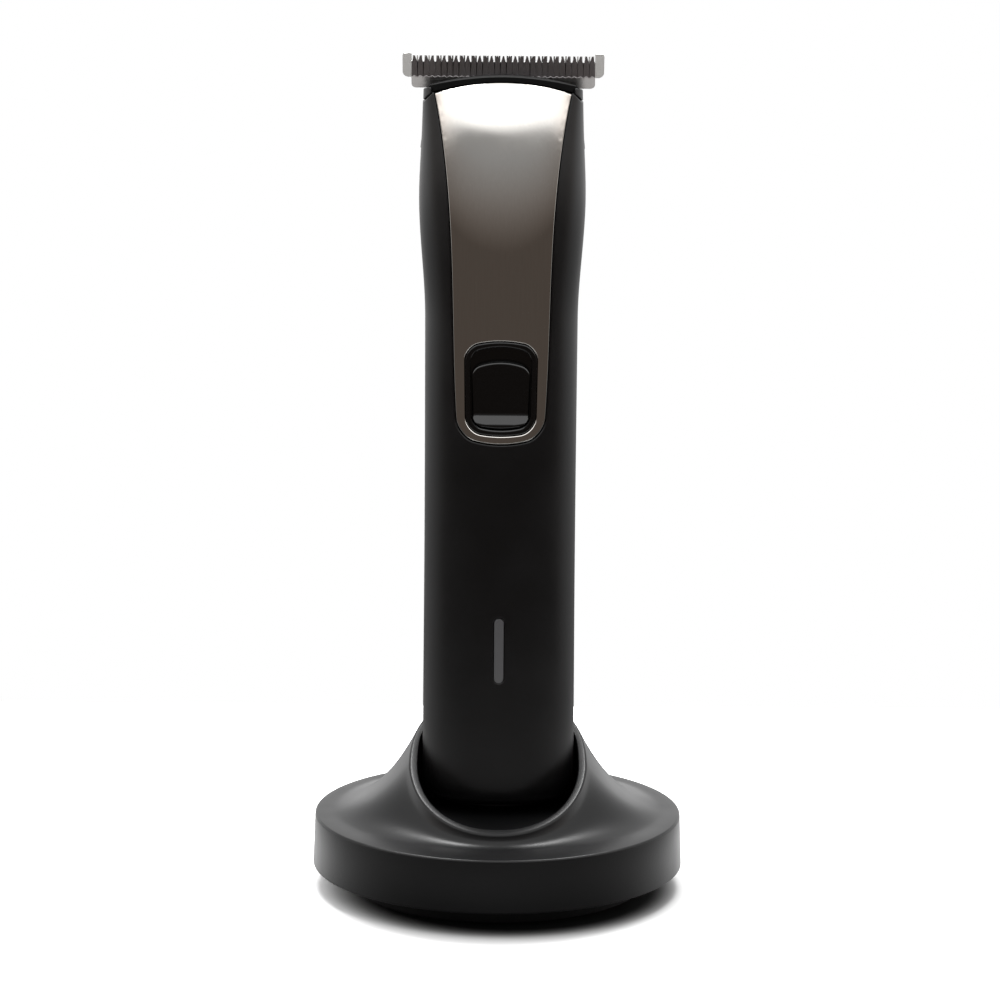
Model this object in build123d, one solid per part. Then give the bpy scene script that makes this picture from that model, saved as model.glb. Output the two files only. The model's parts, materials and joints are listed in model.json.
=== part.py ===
from build123d import *
import math
import os

# A cordless hair clipper with a T-shaped blade, standing upright in its round charging stand.
# Millimetres. The origin is the middle of the stand's underside, Z is up and the front faces -Y.

# Clearances
fit_gap = 0.1            # between pieces that are put together and stay put
slide_gap = 0.3          # beside pieces that travel
run_gap = 0.03           # round a shaft in its bush, and between the two blades
seam_gap = 0.12          # parting line of the two housing halves

# Stand shell
stand_radius = 37.7      # wall at its lower edge
stand_draft = 0.4        # the wall leans in by this much at its rim
stand_lift = 4.6         # lower edge of the wall above the table
stand_wall_height = 10.7
stand_skin = 2.2         # moulded thickness
rim_round = 0.9
flare_margin = 2.3       # the pedestal's flare runs out this far inside the wall
flare_sink = 0.12        # the flare ends this far under the rim, so that the two meet at an angle
collar_side = 0.8        # room between the collar and the clipper's foot, at each side
collar_back = 1.5        # and behind it
collar_front = 11.0      # open scoop ahead of the foot
lip_front_rise = 1.9     # lip above the rim at the front
lip_back_rise = 21.0     # lip above the rim at the back
lip_band = 1.6           # width of the lip
lip_power = 2.35         # squareness of the lip's outline behind its widest place
lip_front_power = 2.1    # and ahead of it
flare_curve = 2.1        # how hollow the pedestal's flare is
flare_sections = 7       # cross-sections that the flare is drawn through
socket_rise = 2.1        # socket floor above the rim
socket_power = 2.6       # squareness of the socket's outline behind its widest place
socket_front_power = 2.15  # and ahead of it
socket_draw = 0.1        # the socket narrows by this much towards its floor
socket_ramp = 1.4        # how far the front of the socket slopes in
seat_height = 1.6        # raised pad that the clipper stands on
seat_half_width = 9.0
seat_half_depth = 5.0
seat_root = 0.5          # the pad starts this far inside the floor
seat_gap = 0.05

# Stand underside and inside
plate_thickness = 2.0
foot_ring_inset = 7.5    # foot ring inside the wall
foot_ring_wall = 2.2
foot_ring_lift = 0.6     # foot ring above the table
foot_radius = 4.0
foot_seat = 0.6          # how far the rubber feet are let in
foot_inset = 6.2         # middles of the feet inside the foot ring
foot_turn = 22.5         # degrees between the feet and the side-to-side axis
stand_screw_inset = 5.2  # screws inside the foot ring
stand_screw_radius = 1.2
stand_screw_length = 9.0
stand_screw_head_radius = 2.5
stand_screw_head = 1.2
stand_drive_length = 2.6
stand_drive_width = 0.6
stand_boss_radius = 3.0
ballast_inset = 4.0      # ballast ring inside the circle of screws
ballast_width = 7.0
ballast_height = 6.0
board_thickness = 1.2
stand_board_half_width = 9.0
stand_board_half_depth = 8.0
stand_board_room = 5.6   # below the socket floor, for the pins and their springs
board_post_radius = 1.6
inlet_half_width = 4.0
inlet_height = 6.0
inlet_length = 10.0
inlet_nose_radius = 2.9
inlet_recess = 0.3
inlet_bore_radius = 1.75
inlet_bore_depth = 9.0
inlet_pin_radius = 0.5
inlet_pin_short = 0.8    # the centre pin ends this far inside the bore

# Charging contacts
contact_spread = 10.0    # between the two centres
pin_radius = 1.2
pin_fit = 0.06
pin_collar_radius = 2.0
pin_collar = 0.8
leaf_thickness = 0.3
leaf_width = 2.6
leaf_reach = 5.0
pad_radius = 2.0
pad_recess = 0.8

# Clipper body, heights above its foot and drops below the tooth tips
clipper_length = 150.0   # foot to tooth tips
foot_half_width = 15.45
foot_front = 13.0
foot_back = 12.7
foot_round = 3.4
waist_height = 62.0
waist_half_width = 15.2
waist_front = 12.9
waist_back = 12.8
neck_drop = 52.0
neck_half_width = 15.25
neck_front = 12.7
neck_back = 13.0
bulge_drop = 28.0
bulge_half_width = 16.55
bulge_front = 11.4
bulge_back = 11.9
brow_drop = 14.0
brow_half_width = 16.0
brow_front = 8.4
brow_back = 8.7
crown_drop = 2.0
crown_half_width = 15.65
crown_front = 4.9
crown_back = 5.2
body_power = 2.2         # squareness of the body's section
body_sections = 12       # cross-sections that the form is drawn through
housing_wall = 1.8
housing_floor = 3.4
seam_y = 1.0             # parting plane of front and rear housing
rear_top_drop = 18.6     # upper end of the rear housing
cheek_edge_drop = 9.0
cheek_tip_drop = 7.3
cheek_tip_x = 13.9
arch_drop = 5.05         # middle of the front housing's arched top edge

# Bottom cap
cap_half_width = 9.4
cap_half_depth = 5.6
cap_flange = 1.5
cap_flange_thickness = 1.4

# Front panel
panel_thickness = 0.8
panel_proud = 0.1
panel_gap = 0.25
panel_tail = 1.5         # panel below the switch window
panel_low_half_width = 8.55
panel_low_rise = 1.7     # start of the panel's straight sides above its end
panel_mid_half_width = 9.6
panel_mid_rise = 17.7    # above the middle of the switch
panel_high_half_width = 10.75
panel_high_drop = 25.0
panel_top_half_width = 13.4
panel_corner = 5.4

# Switch
switch_drop = 64.7       # middle of the switch window
window_length = 19.0
window_half_low = 7.05
window_half_high = 7.3
window_crown_low = 0.9
window_crown_high = 1.4
window_corner = 4.0
bezel_rim = 1.25         # visible black frame round the button's opening
bezel_wall = 0.9
bezel_depth = 3.1        # pocket's floor behind the body's front
bezel_floor = 0.8
button_length = 13.3
button_travel = 2.9
button_side_gap = 0.2
button_sunk = 0.1        # crest of the button behind the body's front
button_scoop_radius = 14.0
button_scoop_depth = 1.2
button_ridge = 2.2       # finger ridge at the button's lower end
stem_half_width = 2.2
stem_half_height = 2.2
knob_half_width = 1.1
knob_half_height = 0.9
switch_half_width = 4.5
switch_thickness = 1.2
switch_end = 2.7         # switch case past the middle of its knob at each end

# Indicator light pipe
light_width = 1.85
light_length = 13.1
light_height = 32.5
light_flange = 0.9
light_flange_thickness = 1.0

# Battery, board and chassis
battery_radius = 7.15
battery_length = 50.0
battery_start = 9.4
battery_edge = 0.6
tab_thickness = 0.3
tab_half_width = 2.5
tab_half_length = 4.0
chassis_thickness = 1.2
chassis_half_width = 8.2
stop_thickness = 1.4
standoff = 0.8
standoff_radius = 1.5
board_half_width = 7.6
board_margin = 4.0       # the board ends this far inside the chassis
led_half = 1.0
led_thickness = 0.8
chip_half = 2.5
chip_thickness = 1.0
chip_places = ((-3.4, 16.0), (3.2, 22.0), (3.6, 30.0))  # across, and above the light

# Motor
motor_drop = 51.0
motor_length = 26.0
motor_radius = 10.1
motor_half_depth = 7.6
motor_skin = 0.8
motor_y = 0.3
end_cap_thickness = 1.6
motor_boss_radius = 3.5
motor_boss = 2.0
bush_radius = 2.5
shaft_radius = 1.0
air_gap = 0.4            # between armature and magnets
magnet_length = 16.0
magnet_half_depth = 5.0
armature_radius = 5.9
armature_length = 12.0
armature_slot = 1.6
winding_radius = 4.9
winding_length = 2.4
commutator_radius = 2.4
commutator_length = 3.4
terminal_width = 2.4
terminal_thickness = 0.6
terminal_spread = 11.0
bracket_thickness = 1.6
motor_screw_radius = 1.0
motor_screw_spread = 13.0
motor_screw_head_radius = 1.9
motor_screw_head = 1.2
motor_screw_bite = 2.2
motor_drive_width = 0.5
cam_radius = 4.5
cam_thickness = 3.0
cam_gap = 1.2            # between the motor's boss and the cam
throw = 1.2              # eccentric throw, half of the cutter's stroke
crank_radius = 1.0

# Blade set, in a plane that leans forward
blade_lean = 15.0        # degrees
tip_y = 3.5              # tooth tips behind the axis
comb_half_width = 20.0
comb_thickness = 1.6
comb_bar = 5.0
comb_corner = 1.2
comb_waist_half_width = 16.0
comb_waist = 7.6
comb_stem_half_width = 11.0
comb_stem_start = 10.0
comb_length = 18.6
comb_bevel = 3.0
comb_tip = 0.35
comb_teeth = 47
comb_slot = 0.38
comb_slot_root = 0.27
comb_slot_depth = 1.7
cutter_half_width = 18.2
cutter_thickness = 1.5
cutter_inset = 0.15      # cutter tips below the comb's
cutter_bar = 6.7
cutter_corner = 0.9
cutter_bevel_end = 4.2
cutter_step = 0.25
cutter_tip = 0.35
cutter_teeth = 31
tooth_gap_tip = 0.94
tooth_gap_root = 0.22
tooth_depth = 1.4
cutter_stem_half_width = 4.8
cutter_length = 17.0
yoke_half_width = 3.6
yoke_height = 4.0
yoke_wall = 0.7          # in front of the crank pin's slot
yoke_gap = 0.9           # yoke above the cam
yoke_slack = 0.3         # beside the crank pin
pocket_wall_gap = 1.4    # in front of the yoke, for its spring
spring_thickness = 0.3
spring_half_width = 2.6
blade_screw_spread = 16.8
blade_screw_radius = 1.2
blade_screw_length = 5.0
blade_screw_drop = 13.4  # below the tooth tips
blade_screw_head_radius = 2.2
blade_screw_head = 1.1
blade_drive_length = 2.4
blade_drive_width = 0.5
base_crown_drop = 4.1
base_end_drop = 6.0
base_end_x = 14.4
base_step = 1.2          # slanted shoulder at each end of the arch

# Housing screws
housing_screw_height = 70.0
housing_screw_x = 10.9
housing_screw_radius = 1.1
housing_screw_length = 11.2
housing_screw_head_radius = 1.9
housing_screw_head = 1.2
housing_screw_bite = 6.0 # length in the front housing's boss
housing_boss_radius = 2.4
housing_drive_radius = 0.9

ellipse = 2.0            # squareness of a plain ellipse
far = 80.0               # reach of cutting shapes past the object
past = 1.0               # reach of small cutting shapes past an edge

# Heights above the clipper's foot that follow from the sizes
neck_height = clipper_length - neck_drop
bulge_height = clipper_length - bulge_drop
brow_height = clipper_length - brow_drop
crown_height = clipper_length - crown_drop
rear_top_height = clipper_length - rear_top_drop
cheek_edge_height = clipper_length - cheek_edge_drop
cheek_tip_height = clipper_length - cheek_tip_drop
arch_height = clipper_length - arch_drop
base_crown_height = clipper_length - base_crown_drop
base_end_height = clipper_length - base_end_drop
motor_start = clipper_length - motor_drop
switch_height = clipper_length - switch_drop
panel_bottom_height = switch_height - window_length / 2 - panel_tail
panel_low_height = panel_bottom_height + panel_low_rise
panel_mid_height = switch_height + panel_mid_rise
panel_high_height = clipper_length - panel_high_drop

# Levels and radii that follow from the sizes
flare_radius = stand_radius - flare_margin
foot_ring_radius = stand_radius - foot_ring_inset
foot_circle = foot_ring_radius - foot_inset
stand_screw_circle = foot_ring_radius - stand_screw_inset
ballast_outer = stand_screw_circle - ballast_inset
ballast_inner = ballast_outer - ballast_width
rim_z = stand_lift + stand_wall_height
socket_z = rim_z + socket_rise
socket_under = socket_z - stand_skin
seat_z = socket_z + seat_height
foot_z = seat_z + seat_gap
plate_floor_z = foot_ring_lift + plate_thickness
plate_top_z = stand_lift + plate_thickness
stand_board_z = socket_under - stand_board_room - board_thickness
contact_x = contact_spread / 2
lip_half_width = foot_half_width + collar_side + lip_band
lip_front = foot_front + collar_front + lip_band
lip_back = foot_back + collar_back + lip_band
bezel_floor_y = neck_front - bezel_depth
yoke_front = throw + crank_radius + yoke_slack + yoke_wall
panel_arch_drop = panel_gap / 2  # the panel's top edge under the edge of the arch
switch_z = foot_z + switch_height
tip_z = foot_z + clipper_length
window_low = switch_z - window_length / 2
window_high = switch_z + window_length / 2


def slab(x0, x1, y0, y1, z0, z1):
    """Box between two corners."""
    middle = Pos((x0 + x1) / 2, (y0 + y1) / 2, (z0 + z1) / 2)
    return middle * Box(abs(x1 - x0), abs(y1 - y0), abs(z1 - z0))


def upright(x, y, z0, z1, radius):
    """Round bar along Z."""
    return Pos(x, y, (z0 + z1) / 2) * Cylinder(radius, abs(z1 - z0))


def lying(x, z, y0, y1, radius):
    """Round bar along Y."""
    return Pos(x, (y0 + y1) / 2, z) * Rot(X=90) * Cylinder(radius, abs(y1 - y0))


def front_prism(face):
    """A face drawn in X and Z, run forward from the axis past the front."""
    return extrude(Plane.XZ * face, amount=far)


def oval_point(half_width, front, back, power, angle):
    """Point of a squared oval, front and back measured from the axis."""
    c, s = math.cos(angle), math.sin(angle)
    reach = (abs(c) ** power + abs(s) ** power) ** (-1 / power)
    return half_width * c * reach, (back - front) / 2 + (back + front) / 2 * s * reach


def oval_wire(half_width, front, back, power, z_front, z_back, front_power=None):
    """Squared oval on a plane that runs from z_front at the front to z_back at the back."""
    slope = (z_back - z_front) / (front + back)
    powers = [power, power, front_power or power, front_power or power]
    ways = [(0, 1, slope), (-1, 0, 0), (0, -1, -slope), (1, 0, 0)]
    quarters = []
    for quarter in range(4):
        points = []
        for step in range(4):
            angle = math.pi / 2 * (quarter + step / 3)
            x, y = oval_point(half_width, front, back, powers[quarter], angle)
            points.append((x, y, z_front + slope * (y + front)))
        quarters.append(Spline(*points, tangents=[ways[quarter], ways[(quarter + 1) % 4]]))
    return Wire(quarters)


def level_oval(half_width, front, back, power, z0, z1):
    """Upright prism on a squared oval."""
    face = Face(oval_wire(half_width, front, back, power, z0, z0))
    return extrude(face, amount=z1 - z0, dir=(0, 0, 1))


# Clipper body

body_stations = [
    (0.0, foot_half_width, foot_front, foot_back),
    (waist_height, waist_half_width, waist_front, waist_back),
    (neck_height, neck_half_width, neck_front, neck_back),
    (bulge_height, bulge_half_width, bulge_front, bulge_back),
    (brow_height, brow_half_width, brow_front, brow_back),
    (crown_height, crown_half_width, crown_front, crown_back),
]


def eased(heights, values, height):
    """Smooth curve through the stations that never swings past them."""
    rises = [(b - a) / (q - p) for a, b, p, q in zip(values, values[1:], heights, heights[1:])]
    slopes = [rises[0]]
    for before, after in zip(rises, rises[1:]):
        slopes.append(2 * before * after / (before + after) if before * after > 0 else 0.0)
    slopes.append(rises[-1])
    i = max(k for k in range(len(rises)) if k == 0 or heights[k] <= height)
    span = heights[i + 1] - heights[i]
    t = (height - heights[i]) / span
    keep = (1 + 2 * t) * (1 - t) ** 2
    return (keep * values[i] + (1 - keep) * values[i + 1]
            + span * t * (1 - t) * ((1 - t) * slopes[i] - t * slopes[i + 1]))


def body(grow):
    """The clipper's whole outer form, made larger all round by grow."""
    heights, *columns = zip(*body_stations)
    wires = []
    for step in range(body_sections):
        height = crown_height * step / (body_sections - 1)
        half_width, front, back = [eased(heights, values, height) + grow for values in columns]
        z = foot_z + height
        wires.append(oval_wire(half_width, front, back, body_power, z, z))
    return Solid.make_loft(wires)


outer_form = body(0)
rounded_form = fillet(outer_form.edges().sort_by(Axis.Z)[:1], foot_round)
inner_form = body(-housing_wall)
lining_form = body(-housing_wall - fit_gap)


def band(solid, low, high):
    """The part of a solid between two heights above the clipper's foot."""
    return solid & slab(-far, far, -far, far, foot_z + low, foot_z + high)


def nose_cut(lift):
    """Everything above the front housing's arched top edge, raised by lift."""
    edge = foot_z + cheek_edge_height + lift
    tip = foot_z + cheek_tip_height + lift
    arch = foot_z + arch_height + lift
    line = [
        Line((-far, edge), (-cheek_tip_x - (tip - edge), edge)),
        Line((-cheek_tip_x - (tip - edge), edge), (-cheek_tip_x, tip)),
        ThreePointArc((-cheek_tip_x, tip), (0, arch), (cheek_tip_x, tip)),
        Line((cheek_tip_x, tip), (cheek_tip_x + (tip - edge), edge)),
        Line((cheek_tip_x + (tip - edge), edge), (far, edge)),
        Polyline((far, edge), (far, edge + far), (-far, edge + far), (-far, edge)),
    ]
    return extrude(Plane.XZ * make_face(line), amount=far, both=True)


def panel_face(grow):
    """Outline of the front panel in X and Z."""
    low = foot_z + panel_low_height
    bottom = foot_z + panel_bottom_height - grow
    end = foot_z + cheek_tip_height - panel_arch_drop + grow
    arch = foot_z + arch_height - panel_arch_drop + grow
    sides = [
        (panel_low_half_width + grow, low - grow),
        (panel_mid_half_width + grow, foot_z + panel_mid_height),
        (panel_high_half_width + grow, foot_z + panel_high_height),
        (panel_top_half_width + grow, end),
    ]
    mirrored = [(-x, z) for x, z in sides]
    face = make_face([
        Spline(*sides),
        ThreePointArc(sides[-1], (0, arch), mirrored[-1]),
        Spline(*reversed(mirrored)),
        ThreePointArc(mirrored[0], (0, bottom), sides[0]),
    ])
    return fillet(face.vertices().sort_by(Axis.Y)[:2], panel_corner)


def shield_face(low, high, half_low, half_high, crown_low, crown_high, corner):
    """Upright outline with bowed ends and rounded corners, in X and Z."""
    low_end = low + crown_low
    high_end = high - crown_high
    face = make_face([
        Line((half_low, low_end), (half_high, high_end)),
        ThreePointArc((half_high, high_end), (0, high), (-half_high, high_end)),
        Line((-half_high, high_end), (-half_low, low_end)),
        ThreePointArc((-half_low, low_end), (0, low), (half_low, low_end)),
    ])
    return fillet(face.vertices(), corner)


def window_face(inset):
    """Outline of the switch window, drawn in by inset."""
    return shield_face(window_low + inset, window_high - inset, window_half_low - inset,
                       window_half_high - inset, window_crown_low, window_crown_high,
                       window_corner - inset)


def light_face(grow):
    """Outline of the indicator's slot."""
    slot = SlotOverall(light_length + 2 * grow, light_width + 2 * grow, rotation=90)
    return Pos(0, foot_z + light_height) * slot


panel_bed = body(1) - body(panel_proud - panel_thickness - fit_gap / 2)
panel_recess = panel_bed & front_prism(panel_face(panel_gap))
light_slot = front_prism(light_face(fit_gap))
cap_hole = level_oval(cap_half_width, cap_half_depth, cap_half_depth, ellipse, 0, foot_z + housing_floor)
shell_room = band(inner_form, housing_floor, clipper_length)
opening_cut = front_prism(window_face(bezel_rim - bezel_wall - fit_gap))


def screw_places():
    return [(side * housing_screw_x, foot_z + housing_screw_height) for side in (-1, 1)]


def front_housing():
    shell = rounded_form - shell_room
    for x, z in screw_places():
        shell += lying(x, z, -far, seam_y, housing_boss_radius) & inner_form
    shell &= slab(-far, far, -far, seam_y - seam_gap / 2, 0, far * 3)
    for x, z in screw_places():
        shell -= lying(x, z, seam_y - housing_screw_bite, seam_y, housing_screw_radius + run_gap)
    return shell - nose_cut(0) - panel_recess - opening_cut - light_slot - cap_hole


def rear_housing():
    shell = rounded_form - shell_room
    head_y = screw_head_y()
    for x, z in screw_places():
        shell += lying(x, z, seam_y, far, housing_boss_radius) & inner_form
    shell &= slab(-far, far, seam_y + seam_gap / 2, far, 0, foot_z + rear_top_height)
    for x, z in screw_places():
        shell -= lying(x, z, seam_y, far, housing_screw_radius + fit_gap)
        shell -= lying(x, z, head_y, far, housing_screw_head_radius + fit_gap)
    return shell - cap_hole


def screw_head_y():
    """Seat of the housing screws' heads, behind the axis."""
    return seam_y + housing_screw_length - housing_screw_bite


def housing_screws():
    screws = []
    for x, z in screw_places():
        seat = screw_head_y()
        screw = lying(x, z, seam_y - housing_screw_bite + fit_gap, seat, housing_screw_radius)
        head = lying(x, z, seat, seat + housing_screw_head, housing_screw_head_radius)
        drive = lying(x, z, seat + housing_screw_head / 2, far, housing_drive_radius)
        screws.append(screw + head - drive)
    return Compound(screws)


def front_panel():
    sheet = body(panel_proud) - body(panel_proud - panel_thickness)
    return (sheet & front_prism(panel_face(0))) - front_prism(window_face(0))


def bottom_cap():
    floor_top = foot_z + housing_floor
    grown = cap_flange - fit_gap
    plug = level_oval(cap_half_width - fit_gap, cap_half_depth - fit_gap, cap_half_depth - fit_gap,
                      ellipse, foot_z, floor_top + fit_gap)
    flange = level_oval(cap_half_width + grown, cap_half_depth + grown, cap_half_depth + grown,
                        ellipse, floor_top + fit_gap, floor_top + fit_gap + cap_flange_thickness)
    cap = plug + flange
    for side in (-1, 1):
        cap -= upright(side * contact_x, 0, foot_z, foot_z + pad_recess, pad_radius + slide_gap)
        cap -= upright(side * contact_x, 0, foot_z, far, pad_radius + run_gap)
    return cap


def contact_pads():
    start = foot_z + pad_recess
    return Compound([upright(side * contact_x, 0, start, chassis_low(), pad_radius) for side in (-1, 1)])


def light_pipe():
    bar = front_prism(light_face(0)) & outer_form
    bar &= slab(-far, far, -far, board_front() - led_thickness - fit_gap, 0, far * 3)
    flange = front_prism(light_face(light_flange)) & lining_form
    front = -waist_front + housing_wall
    flange &= slab(-far, far, -far, front + light_flange_thickness, 0, far * 3)
    return bar + flange


# Switch

def opening_face(inset):
    """Outline of the pocket that the button slides in."""
    return window_face(bezel_rim + inset)


def switch_bezel():
    flange_bed = body(0) - body(panel_proud - panel_thickness)
    flange = flange_bed & front_prism(window_face(fit_gap))
    cup = front_prism(window_face(bezel_rim - bezel_wall)) & outer_form
    cup &= slab(-far, far, -far, -bezel_floor_y + bezel_floor, 0, far * 3)
    pocket = front_prism(opening_face(0)) & slab(-far, far, -far, -bezel_floor_y, 0, far * 3)
    low = button_middle() - stem_half_height - slide_gap
    high = button_middle() + stem_half_height + button_travel + slide_gap
    slot_half = stem_half_width + slide_gap
    slot = slab(-slot_half, slot_half, -far, 0, low, high)
    return flange + cup - pocket - slot


def button_low():
    return window_low + bezel_rim + button_side_gap


def button_middle():
    return button_low() + button_length / 2


def switch_button():
    inset = bezel_rim + button_side_gap
    high = button_low() + button_length
    outline = shield_face(button_low(), high, window_half_low - inset, window_half_high - inset,
                          window_crown_low, window_crown_high, window_corner - inset)
    block = front_prism(outline)
    crest = button_sunk - neck_front
    block &= slab(-far, far, crest, -bezel_floor_y - button_side_gap, 0, far * 3)
    scoop_y = crest - button_scoop_radius + button_scoop_depth
    reach = math.sqrt(button_scoop_radius ** 2 - (button_scoop_radius - button_scoop_depth) ** 2)
    scoop_z = button_low() + button_ridge + reach
    scoop = Pos(0, scoop_y, scoop_z) * Rot(Y=90) * Cylinder(button_scoop_radius, far)
    stem = slab(-stem_half_width, stem_half_width, -bezel_floor_y - button_side_gap, knob_root(),
                button_middle() - stem_half_height, button_middle() + stem_half_height)
    socket_w = knob_half_width + fit_gap
    socket_h = knob_half_height + fit_gap
    socket = slab(-socket_w, socket_w, knob_end() - fit_gap, 0,
                  button_middle() - socket_h, button_middle() + socket_h)
    return block - scoop + stem - socket


def knob_root():
    """Back end of the button's stem, just ahead of the electrical switch."""
    return board_front() - switch_thickness - fit_gap


def knob_end():
    return -bezel_floor_y + fit_gap


def switch_knob():
    return slab(-knob_half_width, knob_half_width, knob_end(), board_front() - switch_thickness / 2,
                button_middle() - knob_half_height, button_middle() + knob_half_height)


def slide_switch():
    low = button_middle() - switch_end
    high = button_middle() + button_travel + switch_end
    case = slab(-switch_half_width, switch_half_width, board_front() - switch_thickness, board_front(),
                low, high)
    slot_w = knob_half_width + slide_gap
    slot_h = knob_half_height + slide_gap
    slot = slab(-slot_w, slot_w, -far, board_front() - switch_thickness / 2 + fit_gap,
                button_middle() - slot_h, button_middle() + button_travel + slot_h)
    return case - slot


# Battery, chassis and board

def battery_y():
    return waist_back - housing_wall - fit_gap - battery_radius - fit_gap


def chassis_front():
    return battery_y() - battery_radius - fit_gap - chassis_thickness


def board_front():
    return chassis_front() - standoff - board_thickness


def chassis_low():
    return foot_z + housing_floor + fit_gap + cap_flange_thickness


def chassis_high():
    return foot_z + motor_start - end_cap_thickness - motor_boss - fit_gap


def stop_levels():
    """Undersides of the two walls that hold the battery's ends."""
    low = foot_z + battery_start - fit_gap - tab_thickness - stop_thickness
    high = foot_z + battery_start + battery_length + fit_gap + tab_thickness
    return low, high


def chassis():
    front = chassis_front()
    back = front + chassis_thickness
    frame = slab(-chassis_half_width, chassis_half_width, front, back, chassis_low(), chassis_high())
    for low in stop_levels():
        frame += slab(-battery_radius, battery_radius, back, battery_y(), low, low + stop_thickness)
        frame += upright(0, battery_y(), low, low + stop_thickness, battery_radius)
    top = chassis_high()
    frame += slab(-chassis_half_width, chassis_half_width, back, motor_y + motor_half_depth,
                  top - stop_thickness, top)
    for z in board_ends():
        frame += lying(0, z, front - standoff, front, standoff_radius)
    return frame


def board_ends():
    """Levels of the two standoffs under the board."""
    return chassis_low() + 2 * board_margin, chassis_high() - board_margin - standoff_radius


def battery_cell():
    start = foot_z + battery_start
    cell = upright(0, battery_y(), start, start + battery_length, battery_radius)
    return fillet(cell.edges(), battery_edge)


def battery_tabs():
    low, high = stop_levels()
    tabs = []
    for level in (low + stop_thickness, high - tab_thickness):
        tabs.append(slab(-tab_half_width, tab_half_width, battery_y() - tab_half_length,
                         battery_y() + tab_half_length, level, level + tab_thickness))
    return Compound(tabs)


def main_board():
    front = board_front()
    return slab(-board_half_width, board_half_width, front, front + board_thickness,
                chassis_low() + board_margin, chassis_high() - board_margin / 2)


def board_parts():
    front = board_front()
    light_z = foot_z + light_height
    led = slab(-led_half, led_half, front - led_thickness, front, light_z - led_half, light_z + led_half)
    parts = [led]
    for x, up in chip_places:
        z = light_z + up
        parts.append(slab(x - chip_half, x + chip_half, front - chip_thickness, front,
                          z - chip_half, z + chip_half))
    return Compound(parts)


# Motor

def flat_round(radius, half_depth, z0, z1):
    """Round bar with two flats, the form of the motor's can."""
    bar = upright(0, motor_y, z0, z1, radius)
    return bar & slab(-far, far, motor_y - half_depth, motor_y + half_depth, z0, z1)


motor_z = foot_z + motor_start
motor_top = motor_z + motor_length
boss_top = motor_top + motor_boss
cam_z = boss_top + cam_gap


def motor_can():
    can = flat_round(motor_radius, motor_half_depth, motor_z, motor_top)
    can -= flat_round(motor_radius - motor_skin, motor_half_depth - motor_skin,
                      motor_z, motor_top - motor_skin)
    can += upright(0, motor_y, motor_top, boss_top, motor_boss_radius)
    can -= upright(0, motor_y, motor_top - motor_skin, boss_top, bush_radius + run_gap)
    for side in (-1, 1):
        can -= upright(side * motor_screw_spread / 2, motor_y, motor_z, motor_top,
                       motor_screw_radius + run_gap)
    return can


def motor_end_cap():
    low = motor_z - end_cap_thickness
    cap = flat_round(motor_radius, motor_half_depth, low, motor_z)
    cap += upright(0, motor_y, low - motor_boss, low, motor_boss_radius)
    cap -= upright(0, motor_y, low - motor_boss, motor_z, bush_radius + run_gap)
    for side in (-1, 1):
        cap -= terminal(side, fit_gap / 2)
    return cap


def terminal(side, grow):
    x = side * terminal_spread / 2
    half = terminal_width / 2 + grow
    thick = terminal_thickness / 2 + grow
    low = motor_z - end_cap_thickness - motor_boss
    return slab(x - half, x + half, motor_y - thick, motor_y + thick, low, motor_z - fit_gap + grow)


def motor_terminals():
    return Compound([terminal(side, 0) for side in (-1, 1)])


def motor_bushes():
    bores = upright(0, motor_y, 0, far * 3, shaft_radius + run_gap)
    low = motor_z - end_cap_thickness - motor_boss
    rear = upright(0, motor_y, low, motor_z, bush_radius)
    front = upright(0, motor_y, motor_top - motor_skin, boss_top, bush_radius)
    return Compound([rear - bores, front - bores])


def motor_magnets():
    start = motor_z + (motor_length - motor_skin - magnet_length) / 2
    ring = upright(0, motor_y, start, start + magnet_length, motor_radius - motor_skin - fit_gap)
    ring -= upright(0, motor_y, start, start + magnet_length, armature_radius + air_gap)
    halves = []
    for side in (-1, 1):
        halves.append(ring & slab(0, side * far, motor_y - magnet_half_depth, motor_y + magnet_half_depth,
                                  0, far * 3))
    return Compound(halves)


def armature_start():
    return motor_z + (motor_length - motor_skin - armature_length) / 2 + winding_length / 2


def armature_core():
    start = armature_start()
    end = start + armature_length
    core = upright(0, motor_y, start, end, armature_radius)
    core -= upright(0, motor_y, start, end, shaft_radius + run_gap)
    for turn in range(3):
        slot = slab(-armature_slot / 2, armature_slot / 2, armature_radius / 2, far, start, end)
        core -= Pos(0, motor_y, 0) * Rot(Z=120 * turn) * slot
    return core


def armature_windings():
    start = armature_start()
    coils = []
    for low in (start - winding_length, start + armature_length):
        ring = upright(0, motor_y, low, low + winding_length, winding_radius)
        coils.append(ring - upright(0, motor_y, low, low + winding_length, shaft_radius + run_gap))
    return Compound(coils)


def commutator():
    high = armature_start() - winding_length
    low = high - commutator_length
    drum = upright(0, motor_y, low, high, commutator_radius)
    return drum - upright(0, motor_y, low, high, shaft_radius + run_gap)


def motor_shaft():
    low = motor_z - end_cap_thickness - motor_boss + fit_gap
    return upright(0, motor_y, low, cam_z + cam_thickness - fit_gap, shaft_radius)


def eccentric_cam():
    cam = upright(0, motor_y, cam_z, cam_z + cam_thickness, cam_radius)
    cam -= upright(0, motor_y, 0, cam_z + cam_thickness - fit_gap, shaft_radius + run_gap)
    pin_top = yoke_low() + yoke_height - slide_gap
    return cam + upright(0, motor_y - throw, cam_z + cam_thickness, pin_top, crank_radius)


def motor_bracket():
    plate = band(lining_form, motor_start + motor_length, motor_start + motor_length + bracket_thickness)
    plate -= upright(0, motor_y, 0, far * 3, motor_boss_radius + fit_gap)
    for side in (-1, 1):
        plate -= upright(side * motor_screw_spread / 2, motor_y, 0, far * 3, motor_screw_radius + fit_gap)
    return plate


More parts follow.
